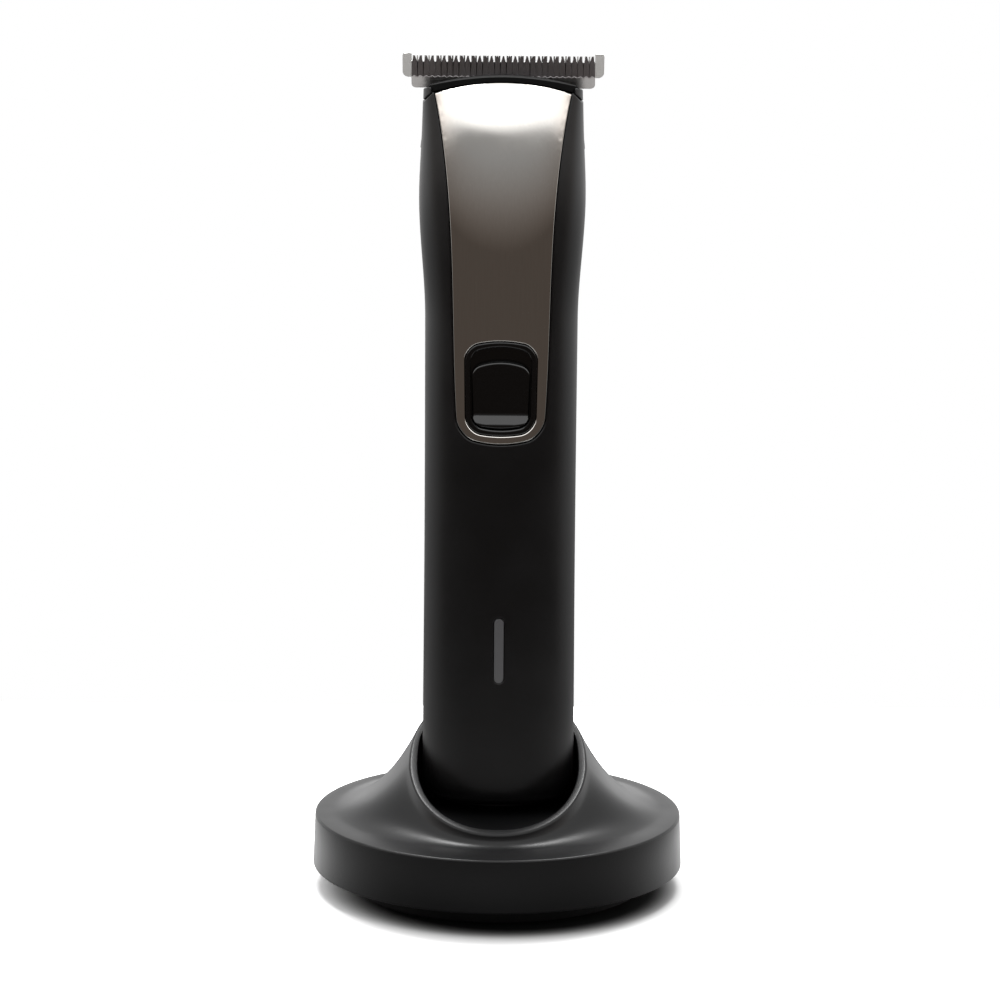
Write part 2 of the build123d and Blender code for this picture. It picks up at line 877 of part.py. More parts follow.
def motor_screws():
    top = motor_top + bracket_thickness
    screws = []
    for side in (-1, 1):
        x = side * motor_screw_spread / 2
        screw = upright(x, motor_y, motor_top - motor_screw_bite, top, motor_screw_radius)
        screw += upright(x, motor_y, top, top + motor_screw_head, motor_screw_head_radius)
        half = motor_drive_width / 2
        slot = slab(x - far, x + far, motor_y - half, motor_y + half, top + motor_screw_head / 2, far * 3)
        screws.append(screw - slot)
    return Compound(screws)


# Blade set. In the blade's own frame X runs across, Y down from the tooth tips and Z out through
# the comb, with Z = 0 on the face where cutter and comb slide on each other.

lean = math.radians(blade_lean)
blade_frame = Location(Plane(origin=(0, tip_y, tip_z), x_dir=(1, 0, 0),
                             z_dir=(0, math.cos(lean), math.sin(lean))))


def side_prism(points):
    """A profile in the blade's Y and Z, run across the whole blade."""
    return extrude(Plane.YZ * make_face(Polyline(*points, close=True)), amount=far, both=True)


def blade_block(half_width, y0, y1, z0, z1):
    return slab(-half_width, half_width, y0, y1, z0, z1)


def saw_face(count, half_width, widths):
    """Gaps between teeth as one outline: widths pairs each depth with the gap's width there."""
    pitch = 2 * half_width / count
    points = [(-half_width - pitch, -past)]
    for gap in range(count + 1):
        x = -half_width + gap * pitch
        points += [(x - width / 2, depth) for depth, width in widths]
        points += [(x + width / 2, depth) for depth, width in reversed(widths) if width > 0]
    points.append((half_width + pitch, -past))
    return make_face(Polyline(*points, close=True))


def comb_outline():
    line = Polyline((-comb_half_width, 0), (comb_half_width, 0), (comb_half_width, comb_bar),
                    (comb_waist_half_width, comb_bar), (comb_waist_half_width, comb_waist),
                    (comb_stem_half_width, comb_stem_start), (comb_stem_half_width, comb_length),
                    (-comb_stem_half_width, comb_length), (-comb_stem_half_width, comb_stem_start),
                    (-comb_waist_half_width, comb_waist), (-comb_waist_half_width, comb_bar),
                    (-comb_half_width, comb_bar), close=True)
    face = make_face(line)
    outer = [v for v in face.vertices() if abs(v.X) > comb_waist_half_width + fit_gap and v.Y > fit_gap]
    stem = [v for v in face.vertices() if v.Y > comb_length - fit_gap]
    return fillet(outer + stem, comb_corner)


def blade_screw_places():
    return [(side * blade_screw_spread / 2, blade_screw_drop) for side in (-1, 1)]


def fixed_blade():
    plate = extrude(comb_outline(), amount=comb_thickness)
    plate -= side_prism([(0, comb_tip), (comb_bevel, comb_thickness), (-past, comb_thickness + past),
                         (-past, comb_tip)])
    gaps = saw_face(comb_teeth, cutter_half_width, [(0, comb_slot), (comb_slot_depth, comb_slot_root)])
    plate -= extrude(gaps, amount=comb_thickness)
    for x, y in blade_screw_places():
        plate -= Pos(x, y, 0) * Cylinder(blade_screw_radius + fit_gap, far)
    return blade_frame * plate


def moving_blade():
    top = -run_gap
    bar = RectangleRounded(2 * cutter_half_width, cutter_bar - cutter_inset, cutter_corner)
    outline = Pos(0, (cutter_bar + cutter_inset) / 2) * bar
    outline += Pos(0, cutter_bar / 2) * Rectangle(2 * cutter_half_width - 2 * cutter_corner, cutter_bar) \
        & Pos(0, cutter_bar) * Rectangle(far, 2 * (cutter_bar - cutter_inset))
    middle = (cutter_bar + cutter_length) / 2 - cutter_corner
    stem_length = cutter_length - cutter_bar + 2 * cutter_corner
    outline += Pos(0, middle) * Rectangle(2 * cutter_stem_half_width, stem_length)
    plate = Pos(0, 0, -cutter_thickness) * extrude(outline, amount=cutter_thickness + top)
    step = -cutter_thickness + cutter_step
    plate -= side_prism([(cutter_inset - past, -cutter_tip), (cutter_inset, -cutter_tip),
                         (cutter_bevel_end, step), (cutter_bevel_end, -far), (cutter_inset - past, -far)])
    gaps = saw_face(cutter_teeth, cutter_half_width,
                    [(cutter_inset, tooth_gap_tip), (tooth_depth, tooth_gap_root), (cutter_bevel_end, 0)])
    slope = (cutter_bevel_end - tooth_depth) / (step - top)
    under = -2 * cutter_thickness
    ground = side_prism([(-2 * past, past), (tooth_depth + slope * (past - top), past),
                         (tooth_depth + slope * (under - top), under), (-2 * past, under)])
    plate -= Pos(0, 0, -cutter_thickness) * extrude(gaps, amount=2 * cutter_thickness) & ground
    return blade_frame * plate


def yoke_low():
    return cam_z + cam_thickness + yoke_gap


def cutter_yoke():
    low = yoke_low()
    block = slab(-yoke_half_width, yoke_half_width, motor_y - yoke_front, far, low, low + yoke_height)
    behind = blade_frame * blade_block(far, -far, far, -cutter_thickness - run_gap / 2, far)
    half = crank_radius + yoke_slack
    slot = slab(-half, half, motor_y - throw - half, motor_y + throw + half, low, low + yoke_height)
    return block - behind - slot


def pocket_front():
    return motor_y - yoke_front - pocket_wall_gap


def tension_spring():
    """Bowed leaf between the blade base and the yoke."""
    low = yoke_low() + fit_gap
    high = low + yoke_height - 2 * fit_gap
    back = pocket_front() + fit_gap
    crest = motor_y - yoke_front - fit_gap
    half = spring_half_width
    inner = ThreePointArc((-half, back + spring_thickness), (0, crest), (half, back + spring_thickness))
    outer = ThreePointArc((half, back), (0, crest - spring_thickness), (-half, back))
    right = Line((half, back + spring_thickness), (half, back))
    left = Line((-half, back), (-half, back + spring_thickness))
    profile = make_face([inner, right, outer, left])
    return Pos(0, 0, low) * extrude(profile, amount=high - low, dir=(0, 0, 1))


def base_top_cut():
    """Everything above the blade base's arched top edge."""
    end = foot_z + base_end_height
    low = end - base_step
    line = [
        Polyline((-far, low), (-base_end_x - base_step, low), (-base_end_x, end)),
        ThreePointArc((-base_end_x, end), (0, foot_z + base_crown_height), (base_end_x, end)),
        Polyline((base_end_x, end), (base_end_x + base_step, low), (far, low)),
        Polyline((far, low), (far, end + far), (-far, end + far), (-far, low)),
    ]
    return extrude(Plane.XZ * make_face(line), amount=far, both=True)


def blade_base():
    low = rear_top_height + seam_gap
    skin = body(-fit_gap / 2)
    above = band(skin, low, crown_height) & nose_cut(seam_gap)
    behind = band(skin, low, crown_height) & slab(-far, far, seam_y + seam_gap / 2, far, 0, far * 3)
    tongue = band(lining_form, low, crown_height) & slab(-far, far, -far, seam_y + past, 0, far * 3)
    base = tongue + behind + above - base_top_cut()
    # room for the cutter's bar and the comb's bar, then the comb's seat
    front = -cutter_thickness - slide_gap
    base -= blade_frame * blade_block(far, -far, cutter_bar + slide_gap, front, far)
    base -= blade_frame * blade_block(far, -far, comb_length + fit_gap, 0, far)
    # room for the cutter's stem and the yoke
    stem_half = cutter_stem_half_width + throw + slide_gap
    base -= blade_frame * blade_block(stem_half, 0, cutter_length + slide_gap, front, fit_gap)
    room_half = yoke_half_width + throw + slide_gap
    room = slab(-room_half, room_half, pocket_front(), far, 0, yoke_low() + yoke_height + slide_gap)
    base -= room - blade_frame * blade_block(far, -far, far, 0, far)
    base -= upright(0, motor_y, 0, cam_z + cam_thickness + slide_gap, cam_radius + slide_gap)
    for x, y in blade_screw_places():
        hole = Pos(x, y, 0) * Cylinder(blade_screw_radius + run_gap, 2 * blade_screw_length)
        base -= blade_frame * hole
    return base


def blade_screws():
    screws = []
    for x, y in blade_screw_places():
        length = blade_screw_length
        shank = Pos(x, y, comb_thickness - length / 2) * Cylinder(blade_screw_radius, length)
        middle = comb_thickness + blade_screw_head / 2
        head = Pos(x, y, middle) * Cylinder(blade_screw_head_radius, blade_screw_head)
        screw = shank + fillet(head.edges().sort_by(Axis.Z)[-1:], blade_screw_head / 2)
        slot = Box(blade_drive_length, blade_drive_width, blade_screw_head)
        for turn in (45, 135):
            screw -= Pos(x, y, comb_thickness + blade_screw_head) * Rot(Z=turn) * slot
        screws.append(blade_frame * screw)
    return Compound(screws)


# Stand

def flare(inset):
    """The pedestal from its slanted lip down to the rim, drawn in by inset."""
    wires = []
    for step in range(flare_sections):
        u = step / (flare_sections - 1)
        fall = (1 - u) ** flare_curve
        half = lip_half_width + (flare_radius - lip_half_width) * u - inset
        front = lip_front + (flare_radius - lip_front) * u - inset
        back = lip_back + (flare_radius - lip_back) * u - inset
        power = lip_power + (ellipse - lip_power) * u
        front_power = lip_front_power + (ellipse - lip_front_power) * u
        base = rim_z - flare_sink - inset
        z_front = base + (lip_front_rise + flare_sink) * fall
        z_back = base + (lip_back_rise + flare_sink) * fall
        wires.append(oval_wire(half, front, back, power, z_front, z_back, front_power))
    return Solid.make_loft(wires)


def bowl(grow, drop):
    """Room inside the collar, from its floor up past the slanted lip."""
    half = lip_half_width - lip_band + grow
    front = lip_front - lip_band + grow
    back = lip_back - lip_band + grow
    slope = (lip_back_rise - lip_front_rise) / (lip_front + lip_back)
    z_front = rim_z + lip_front_rise + slope * (lip_front - front)
    z_back = rim_z + lip_back_rise - slope * (lip_back - back)
    floor = oval_wire(half - socket_draw, front - socket_ramp, back - socket_draw, socket_power,
                      socket_z - drop, socket_z - drop, socket_front_power)
    rim = oval_wire(half, front, back, socket_power, z_front, z_back, socket_front_power)
    over = oval_wire(half, front, back, socket_power, z_front + past, z_back + past, socket_front_power)
    return Solid.make_loft([floor, rim, over], ruled=True)


def stand_disc():
    """Base disc with its drafted wall and rounded rim."""
    top = stand_radius - stand_draft
    profile = make_face(Polyline((0, stand_lift), (stand_radius, stand_lift), (top, rim_z), (0, rim_z),
                                 close=True))
    rim = [v for v in profile.vertices() if v.X > fit_gap and v.Y > stand_lift + fit_gap]
    return revolve(Plane.XZ * fillet(rim, rim_round), Axis.Z)


def stand_room():
    """Hollow under the base disc."""
    inner = stand_radius - stand_skin
    profile = make_face(Polyline((0, stand_lift - past), (inner, stand_lift - past), (inner, stand_lift),
                                 (inner - stand_draft, rim_z - stand_skin), (0, rim_z - stand_skin),
                                 close=True))
    return revolve(Plane.XZ * profile, Axis.Z)


def stand_screw_places():
    offset = stand_screw_circle * math.sqrt(0.5)
    return [(sx * offset, sy * offset) for sx in (-1, 1) for sy in (-1, 1)]


def inlet_z():
    return plate_top_z + inlet_height / 2 + fit_gap / 2


def stand_shell():
    form = stand_disc() + flare(0) - bowl(0, 0)
    form += level_oval(seat_half_width, seat_half_depth, seat_half_depth, ellipse,
                       socket_z - seat_root, seat_z)
    room = flare(stand_skin) - bowl(stand_skin, stand_skin)
    shell = form - stand_room() - room
    for x, y in stand_screw_places():
        boss = upright(x, y, plate_floor_z + fit_gap, far, stand_boss_radius) & form
        boss += upright(x, y, plate_floor_z + fit_gap, rim_z - stand_skin, stand_boss_radius)
        shell += boss
        shell -= upright(x, y, 0, stand_screw_top(), stand_screw_radius + run_gap)
    for side in (-1, 1):
        shell -= upright(side * contact_x, 0, 0, far, pin_radius + pin_fit)
    return shell - lying(0, inlet_z(), 0, far, inlet_nose_radius + fit_gap)


def stand_screw_top():
    return foot_ring_lift + stand_screw_head + stand_screw_length


def stand_bottom_plate():
    plate = upright(0, 0, stand_lift, plate_top_z, stand_radius - stand_skin - fit_gap)
    plate += upright(0, 0, foot_ring_lift, stand_lift, foot_ring_radius)
    plate -= upright(0, 0, plate_floor_z, plate_top_z, foot_ring_radius - foot_ring_wall)
    for x, y in board_post_places():
        plate += upright(x, y, plate_floor_z, stand_board_z, board_post_radius)
    for x, y in stand_screw_places():
        plate -= upright(x, y, 0, far, stand_screw_radius + fit_gap)
        plate -= upright(x, y, 0, foot_ring_lift + stand_screw_head, stand_screw_head_radius + fit_gap)
    for x, y in foot_places():
        plate -= upright(x, y, 0, foot_ring_lift + foot_seat, foot_radius + fit_gap)
    return plate


def foot_places():
    x = foot_circle * math.cos(math.radians(foot_turn))
    y = foot_circle * math.sin(math.radians(foot_turn))
    return [(sx * x, sy * y) for sx in (-1, 1) for sy in (-1, 1)]


def stand_feet():
    return Compound([upright(x, y, 0, foot_ring_lift + foot_seat, foot_radius) for x, y in foot_places()])


def stand_screws():
    screws = []
    seat = foot_ring_lift + stand_screw_head
    for x, y in stand_screw_places():
        screw = upright(x, y, seat, stand_screw_top() - fit_gap, stand_screw_radius)
        screw += upright(x, y, foot_ring_lift + fit_gap, seat, stand_screw_head_radius)
        for turn in (0, 90):
            drive = Box(stand_drive_length, stand_drive_width, stand_screw_head)
            screw -= Pos(x, y, foot_ring_lift) * Rot(Z=turn) * drive
        screws.append(screw)
    return Compound(screws)


def stand_ballast():
    ring = upright(0, 0, plate_floor_z, plate_floor_z + ballast_height, ballast_outer)
    return ring - upright(0, 0, plate_floor_z, plate_floor_z + ballast_height, ballast_inner)


def board_post_places():
    x = stand_board_half_width - board_post_radius
    y = stand_board_half_depth - board_post_radius
    return [(sx * x, sy * y) for sx in (-1, 1) for sy in (-1, 1)]


def stand_board():
    return slab(-stand_board_half_width, stand_board_half_width,
                -stand_board_half_depth, stand_board_half_depth,
                stand_board_z, stand_board_z + board_thickness)


def contact_springs():
    """Folded leaf under each charging pin."""
    low = stand_board_z + board_thickness
    high = pin_collar_z() - fit_gap
    t = leaf_thickness
    middle = (low + high) / 2
    line = Polyline((leaf_reach, low), (-leaf_reach, low), (-leaf_reach, low + t),
                    (leaf_reach - t, low + t), (-leaf_reach, middle), (leaf_reach / 2, high),
                    (leaf_reach / 2, high - t), (-leaf_reach + 3 * t, middle), (leaf_reach, low + t),
                    close=True)
    profile = Plane.YZ * make_face(line)
    leaf = extrude(profile, amount=leaf_width / 2, both=True)
    return Compound([Pos(side * contact_x, 0, 0) * leaf for side in (-1, 1)])


def pin_collar_z():
    """Underside of the charging pins' collars."""
    return socket_under - pin_collar - fit_gap / 2


def charging_pins():
    pins = []
    top = foot_z + pad_recess - fit_gap / 2
    collar = pin_collar_z()
    for side in (-1, 1):
        pin = upright(side * contact_x, 0, collar + pin_collar, top, pin_radius)
        pin = fillet(pin.edges().sort_by(Axis.Z)[-1:], pin_radius / 3)
        pin += upright(side * contact_x, 0, collar, collar + pin_collar, pin_collar_radius)
        pins.append(pin)
    return Compound(pins)


def dc_inlet():
    z = inlet_z()
    wall = math.sqrt((stand_radius - stand_skin - stand_draft) ** 2 - inlet_half_width ** 2) - fit_gap
    end = stand_radius - stand_draft - inlet_recess
    case = slab(-inlet_half_width, inlet_half_width, wall - inlet_length, wall,
                z - inlet_height / 2, z + inlet_height / 2)
    case += lying(0, z, wall - fit_gap, end, inlet_nose_radius)
    case -= lying(0, z, end - inlet_bore_depth, end, inlet_bore_radius)
    return case + lying(0, z, end - inlet_bore_depth - fit_gap, end - inlet_pin_short, inlet_pin_radius)


pieces = [
    stand_shell, stand_bottom_plate, stand_feet, stand_screws, stand_ballast, stand_board, dc_inlet,
    contact_springs, charging_pins,
    front_housing, rear_housing, housing_screws, bottom_cap, contact_pads, front_panel, light_pipe,
    switch_bezel, switch_button, switch_knob, slide_switch,
    chassis, battery_cell, battery_tabs, main_board, board_parts,
    motor_can, motor_end_cap, motor_terminals, motor_bushes, motor_magnets, motor_bracket, motor_screws,
    motor_shaft, armature_core, armature_windings, commutator, eccentric_cam,
    blade_base, fixed_blade, blade_screws, tension_spring, moving_blade, cutter_yoke,
]

os.makedirs("parts", exist_ok=True)
for piece in pieces:
    export_step(piece(), f"parts/{piece.__name__}.step")
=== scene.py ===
import json
import math

import bmesh
import bpy
import numpy as np
from mathutils import Matrix, Vector
from mathutils.geometry import delaunay_2d_cdt


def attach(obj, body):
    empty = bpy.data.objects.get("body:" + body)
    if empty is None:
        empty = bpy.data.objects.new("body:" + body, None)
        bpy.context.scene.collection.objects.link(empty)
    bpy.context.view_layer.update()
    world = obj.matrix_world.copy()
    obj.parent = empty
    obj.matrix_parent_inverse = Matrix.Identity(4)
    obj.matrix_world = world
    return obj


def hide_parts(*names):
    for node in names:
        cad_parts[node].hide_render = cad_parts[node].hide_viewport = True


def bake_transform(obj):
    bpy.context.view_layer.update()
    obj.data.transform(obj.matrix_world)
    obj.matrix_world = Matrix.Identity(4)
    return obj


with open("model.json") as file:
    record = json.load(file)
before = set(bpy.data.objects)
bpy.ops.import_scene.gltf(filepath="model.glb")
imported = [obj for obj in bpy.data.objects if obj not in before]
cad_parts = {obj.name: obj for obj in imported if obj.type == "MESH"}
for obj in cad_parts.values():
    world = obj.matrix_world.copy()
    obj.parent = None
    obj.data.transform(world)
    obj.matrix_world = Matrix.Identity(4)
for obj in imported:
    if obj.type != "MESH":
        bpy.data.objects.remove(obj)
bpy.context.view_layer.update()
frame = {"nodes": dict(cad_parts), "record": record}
scene = bpy.context.scene
MM = 0.001


# Materials. Grain and brushing are finer than a pixel on the real object, so they are drawn coarser
# here, and the slow drift of shade and gloss is drawn broad enough to show.

MOULD_DRIFT, METAL_DRIFT = 14.0, 9.0


def colour(code):
    """Linear colour of an sRGB hex value."""
    parts = [int(code[i:i + 2], 16) / 255 for i in (1, 3, 5)]
    return tuple(c / 12.92 if c <= 0.04045 else ((c + 0.055) / 1.055) ** 2.4 for c in parts) + (1.0,)


def add(tree, kind, settings=None, links=None):
    """Adds a node, sets its properties and sockets, and links what feeds it."""
    made = tree.nodes.new(kind)
    for key, value in (settings or {}).items():
        if isinstance(key, str) and hasattr(made, key):
            setattr(made, key, value)
        else:
            made.inputs[key].default_value = value
    for key, source in (links or {}).items():
        tree.links.new(source, made.inputs[key])
    return made


def begin(name, **values):
    """A new material with its shader, and the point in space that its patterns read."""
    material = bpy.data.materials.new(name)
    material.use_nodes = True
    tree = material.node_tree
    tree.nodes.clear()
    place = add(tree, "ShaderNodeTexCoord").outputs["Object"]
    settings = {key.replace("_", " "): value for key, value in values.items()}
    shader = add(tree, "ShaderNodeBsdfPrincipled", settings)
    add(tree, "ShaderNodeOutputMaterial", links={"Surface": shader.outputs["BSDF"]})
    return material, tree, place, shader


def per_mm(size):
    """Texture scale at which one cell of a pattern is size millimetres wide."""
    return 1 / (size * MM)


def coat(tree, shader, shades, shade_by, rough, rough_by, depth, relief):
    """Feeds a shader: two shades mixed by a pattern, roughness between two values, and relief."""
    tint = add(tree, "ShaderNodeMix", {"data_type": "RGBA", 6: colour(shades[0]), 7: colour(shades[1])},
               {0: shade_by})
    span = {"From Min": 0.3, "From Max": 0.7, "To Min": rough[0], "To Max": rough[1]}
    gloss = add(tree, "ShaderNodeMapRange", span, {"Value": rough_by})
    bump = add(tree, "ShaderNodeBump", {"Strength": 1.0, "Distance": depth * MM}, {"Height": relief})
    tree.links.new(tint.outputs[2], shader.inputs["Base Color"])
    tree.links.new(gloss.outputs["Result"], shader.inputs["Roughness"])
    tree.links.new(bump.outputs["Normal"], shader.inputs["Normal"])


def moulded(name, dark, light, rough, grain, depth, **values):
    """Moulded or painted plastic: a fine grain that breaks up the gloss, and a slow drift of shade."""
    material, tree, place, shader = begin(name, **values)
    fine = add(tree, "ShaderNodeTexNoise", {"Scale": per_mm(grain), "Detail": 3.0}, {"Vector": place})
    slow = add(tree, "ShaderNodeTexNoise", {"Scale": per_mm(MOULD_DRIFT), "Detail": 2.0}, {"Vector": place})
    coat(tree, shader, (dark, light), slow.outputs["Fac"], (rough * 0.9, rough * 1.1), slow.outputs["Fac"],
         depth, fine.outputs["Fac"])
    return material


def worked(name, dark, light, rough, stretch, depth, smudge=0.0):
    """Worked metal: lines left by grinding or brushing and faint smudges. Stretch is the size of the
    lines' cell in X, Y and Z."""
    material, tree, place, shader = begin(name, Metallic=1.0)
    laid = add(tree, "ShaderNodeMapping", {"Scale": [per_mm(cell) for cell in stretch]}, {"Vector": place})
    lines = add(tree, "ShaderNodeTexNoise", {"Scale": 1.0, "Detail": 4.0, "Roughness": 0.6},
                {"Vector": laid.outputs["Vector"]})
    slow = add(tree, "ShaderNodeTexNoise", {"Scale": per_mm(METAL_DRIFT), "Detail": 3.0}, {"Vector": place})
    coat(tree, shader, (dark, light), lines.outputs["Fac"], (rough, rough + smudge + 0.02),
         slow.outputs["Fac"], depth, lines.outputs["Fac"])
    return material


finishes = {
    # spark-eroded grain: a broad, slightly sparkling sheen on the stand's shoulders
    "stand_plastic": moulded("moulded_abs", "#0c0c0d", "#0f0f10", 0.34, 0.45, 0.010, Specular_IOR_Level=0.23),
    # soft coat: deep black face-on, a faint grey bloom towards the edges
    "soft_black": moulded("soft_touch_paint", "#080708", "#0b0a0b", 0.36, 0.4, 0.004,
                          Specular_IOR_Level=0.33),
    # polished black with barely any grain, so that it mirrors the room
    "gloss_black": moulded("polished_abs", "#070708", "#0a0a0b", 0.12, 1.2, 0.002),
    # satin sheet: up-and-down brushing that smears what it mirrors, with faint handling marks
    "panel_steel": worked("satin_stainless", "#c6c3be", "#d0cdc9", 0.05, (0.22, 0.22, 9.0), 0.0005, 0.02),
    # ground flat with lines along the blade, so its tabs are an even light grey
    "blade_steel": worked("ground_blade_steel", "#dededc", "#e8e8e6", 0.34, (3.0, 0.15, 0.15), 0.002),
    # ground in lines down the blade: a light step with a soft sheen
    "cutter_steel": worked("ground_cutter_steel", "#cecdcc", "#dedcdb", 0.3, (0.16, 3.0, 3.0), 0.003),
    # bright plating: cool silver, slightly cloudy
    "screw_steel": worked("zinc_plate", "#a9abad", "#b9bbbc", 0.3, (0.3, 0.3, 0.3), 0.002),
    # rolled strip: mid grey with lines along it
    "spring_steel": worked("spring_steel", "#858584", "#9c9c9b", 0.28, (1.5, 0.2, 0.2), 0.002),
    # unlit, so an even mid grey bar
    "light_plastic": moulded("smoked_polycarbonate", "#666668", "#707072", 0.4, 0.5, 0.003),
    # matt, dusty black with hardly any highlight
    "foot_rubber": moulded("nitrile_rubber", "#141414", "#1b1b1b", 0.8, 0.3, 0.02),
    # bright warm yellow
    "contact_metal": worked("gold_plate", "#d3ab52", "#e2be6c", 0.22, (0.4, 0.4, 0.4), 0.001),
    # dark, rough and uneven
    "ballast_iron": worked("cast_iron", "#383838", "#4c4c4c", 0.6, (0.5, 0.5, 0.5), 0.03),
    # glossy green with a soft ripple
    "board_green": moulded("solder_mask", "#0c4624", "#12552d", 0.32, 0.6, 0.006),
    # dull charcoal with a fine tooth
    "chip_black": moulded("moulded_epoxy", "#19191a", "#242425", 0.55, 0.2, 0.006),
    # soft silver with cloudy patches
    "switch_metal": worked("tin_plate", "#b0b0ae", "#c2c2c0", 0.28, (0.8, 0.8, 0.8), 0.001),
    # slick, waxy black
    "knob_plastic": moulded("acetal_black", "#181818", "#222222", 0.4, 0.4, 0.004),
    # shiny blue film with slight wrinkles
    "cell_sleeve": moulded("shrink_sleeve", "#1a4585", "#235499", 0.3, 1.6, 0.01),
    # dark grey and matt
    "chassis_plastic": moulded("nylon_black", "#1a1a1a", "#262626", 0.5, 0.5, 0.008),
    # nickel bright, with draw lines up the can
    "motor_steel": worked("plated_steel", "#b2b2b0", "#c5c5c3", 0.26, (0.4, 0.4, 4.0), 0.002),
    # creamy and a little milky
    "motor_plastic": moulded("nylon_natural", "#d8d4c8", "#e4e0d5", 0.45, 0.5, 0.006),
    # dull dark grey like slate
    "magnet_ferrite": moulded("ferrite", "#28282a", "#353536", 0.55, 0.3, 0.01),
    # warm red brown, ribbed by the turns of wire
    "copper": worked("enamelled_copper", "#b2623a", "#c97a4a", 0.28, (0.5, 0.5, 0.12), 0.03),
    # slick, waxy white
    "cam_plastic": moulded("acetal_white", "#dad8d1", "#e6e4dd", 0.4, 0.4, 0.004),
}
# fibre-filled and matt, so that the nose under the blade stays black
nose_nylon = moulded("filled_nylon", "#050505", "#080808", 0.6, 0.3, 0.006, Specular_IOR_Level=0.08)
# steel ground a little coarser for the cutter's slope and the comb's rear, its colour painted darker than the
# front's:
# a painted dark reflection on the cutter's slope and painted shade on the comb's rear
steel_painted_dark = worked("ground_steel_painted_dark", "#8b888a", "#979496", 0.34, (0.16, 3.0, 3.0), 0.004)

slot_of = {part["node"]: part["material_slot"] for part in frame["record"]["subparts"]}
for name, node in frame["nodes"].items():
    node.data.materials.clear()
    node.data.materials.append(nose_nylon if name == "blade_base" else finishes[slot_of[name]])


# Meshes

MERGE = 1e-6  # metres


def mesh_of(name, shape):
    """Mesh from points in millimetres and faces."""
    points, faces = shape
    mesh = bpy.data.meshes.new(name)
    mesh.from_pydata((np.asarray(points) * MM).tolist(), [], faces)
    return mesh


def finish(name, body, node, mesh, crease=48.0, alone=True):
    """Joins and turns the faces of a mesh, shades it and sets it on its body, in place of a CAD node
    or beside it. Edges that bend by more than crease degrees stay sharp."""
    form = bmesh.new()
    form.from_mesh(mesh)
    bmesh.ops.remove_doubles(form, verts=form.verts, dist=MERGE)
    bmesh.ops.recalc_face_normals(form, faces=form.faces)
    form.to_mesh(mesh)
    form.free()
    mesh.polygons.foreach_set("use_smooth", [True] * len(mesh.polygons))
    mesh.set_sharp_from_angle(angle=math.radians(crease))
    mesh.materials.append(finishes[slot_of[node]])
    made = bpy.data.objects.new(name, mesh)
    scene.collection.objects.link(made)
    if body:
        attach(made, body)
    if alone:
        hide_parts(node)
    return made


def piece(name, body, node, shape, crease=48.0):
    """Turns points and faces into an object that takes the place of a CAD node."""
    return finish(name, body, node, mesh_of(name, shape), crease)


def joined(*shapes):
    """Several shapes as one list of points and faces."""
    points, faces, start = [], [], 0
    for some, sides in shapes:
        points.append(np.asarray(some))
        faces += [tuple(int(i) + start for i in side) for side in sides]
        start += len(some)
    return np.vstack(points), faces


def inside(points, loops):
    """Which flat points lie inside an odd number of loops."""
    found = np.zeros(len(points), bool)
    for loop in loops:
        for (ax, ay), (bx, by) in zip(loop, np.roll(loop, -1, axis=0)):
            spans = (ay > points[:, 1]) != (by > points[:, 1])
            if spans.any():
                found ^= spans & (points[:, 0] < (bx - ax) * (points[:, 1] - ay) / (by - ay) + ax)
    return found


def filled(loops, step):
    """Small triangles between flat loops: the points, the loops' own points first, and the triangles."""
    row_rise, edge_room = 0.866 * step, 0.6 * step
    edge = np.vstack(loops)
    sides, start = [], 0
    for loop in loops:
        sides += [(start + i, start + (i + 1) % len(loop)) for i in range(len(loop))]
        start += len(loop)
    low, high = edge.min(0), edge.max(0)
    rows = np.arange(low[1], high[1], row_rise)
    grid = np.array([(x + row % 2 * step / 2, y) for row, y in enumerate(rows)
                     for x in np.arange(low[0], high[0], step)])
    grid = grid[inside(grid, loops)]
    clear = np.array([((edge - p) ** 2).sum(1).min() > edge_room ** 2 for p in grid], bool)
    points = np.vstack([edge, grid[clear]]) if clear.any() else edge
    _, _, triangles, origin, _, _ = delaunay_2d_cdt([Vector(p) for p in points], sides, [], 0, 1e-6)
    first = [ids[0] for ids in origin]
    triangles = np.array([[first[i] for i in triangle] for triangle in triangles])
    return points, triangles[inside(points[triangles].mean(1), loops)]


def moved(loop, distance):
    """A flat loop moved to its left, its corners kept square."""
    ahead = np.roll(loop, -1, axis=0) - loop
    ahead /= np.maximum(np.linalg.norm(ahead, axis=1), 1e-9)[:, None]
    left = np.column_stack([-ahead[:, 1], ahead[:, 0]])
    before = np.roll(left, 1, axis=0)
    return loop + distance * (left + before) / np.maximum(1 + (left * before).sum(1), 0.4)[:, None]


def turned(loop, left):
    """The loop run so that its inside is on the left, or on the right."""
    x, y = loop.T
    area = (x * np.roll(y, -1) - y * np.roll(x, -1)).sum()
    return loop if (area > 0) == left else loop[::-1]


def skin(outer, holes, face, back, edge, step):
    """A closed sheet: face lays flat points on its front, sunk by a depth, and back on its back.
    The edges are rounded, the outer loop's and those of the holes."""
    loops = [turned(outer, True)] + [turned(hole, False) for hole in holes]
    rounding = 0.293 * edge  # how far a round edge falls back half way along it
    flat, triangles = filled([moved(loop, 1.8 * edge) for loop in loops], step)
    count = len(flat)
    shape = [face(flat, 0), back(flat)]
    faces = [tuple(t) for t in triangles] + [tuple(t[::-1] + count) for t in triangles]
    start, place = 2 * count, 0
    for loop in loops:
        n = len(loop)
        rings = [face(moved(loop, edge), 0), face(moved(loop, rounding), rounding), face(loop, edge),
                 back(loop)]
        ids = [np.arange(place, place + n)]
        for ring in rings:
            shape.append(ring)
            ids.append(np.arange(start, start + n))
            start += n
        ids.append(np.arange(count + place, count + place + n))
        place += n
        for one, two in zip(ids, ids[1:]):
            faces += [(one[i], two[i], two[(i + 1) % n], one[(i + 1) % n]) for i in range(n)]
    return np.vstack(shape), faces


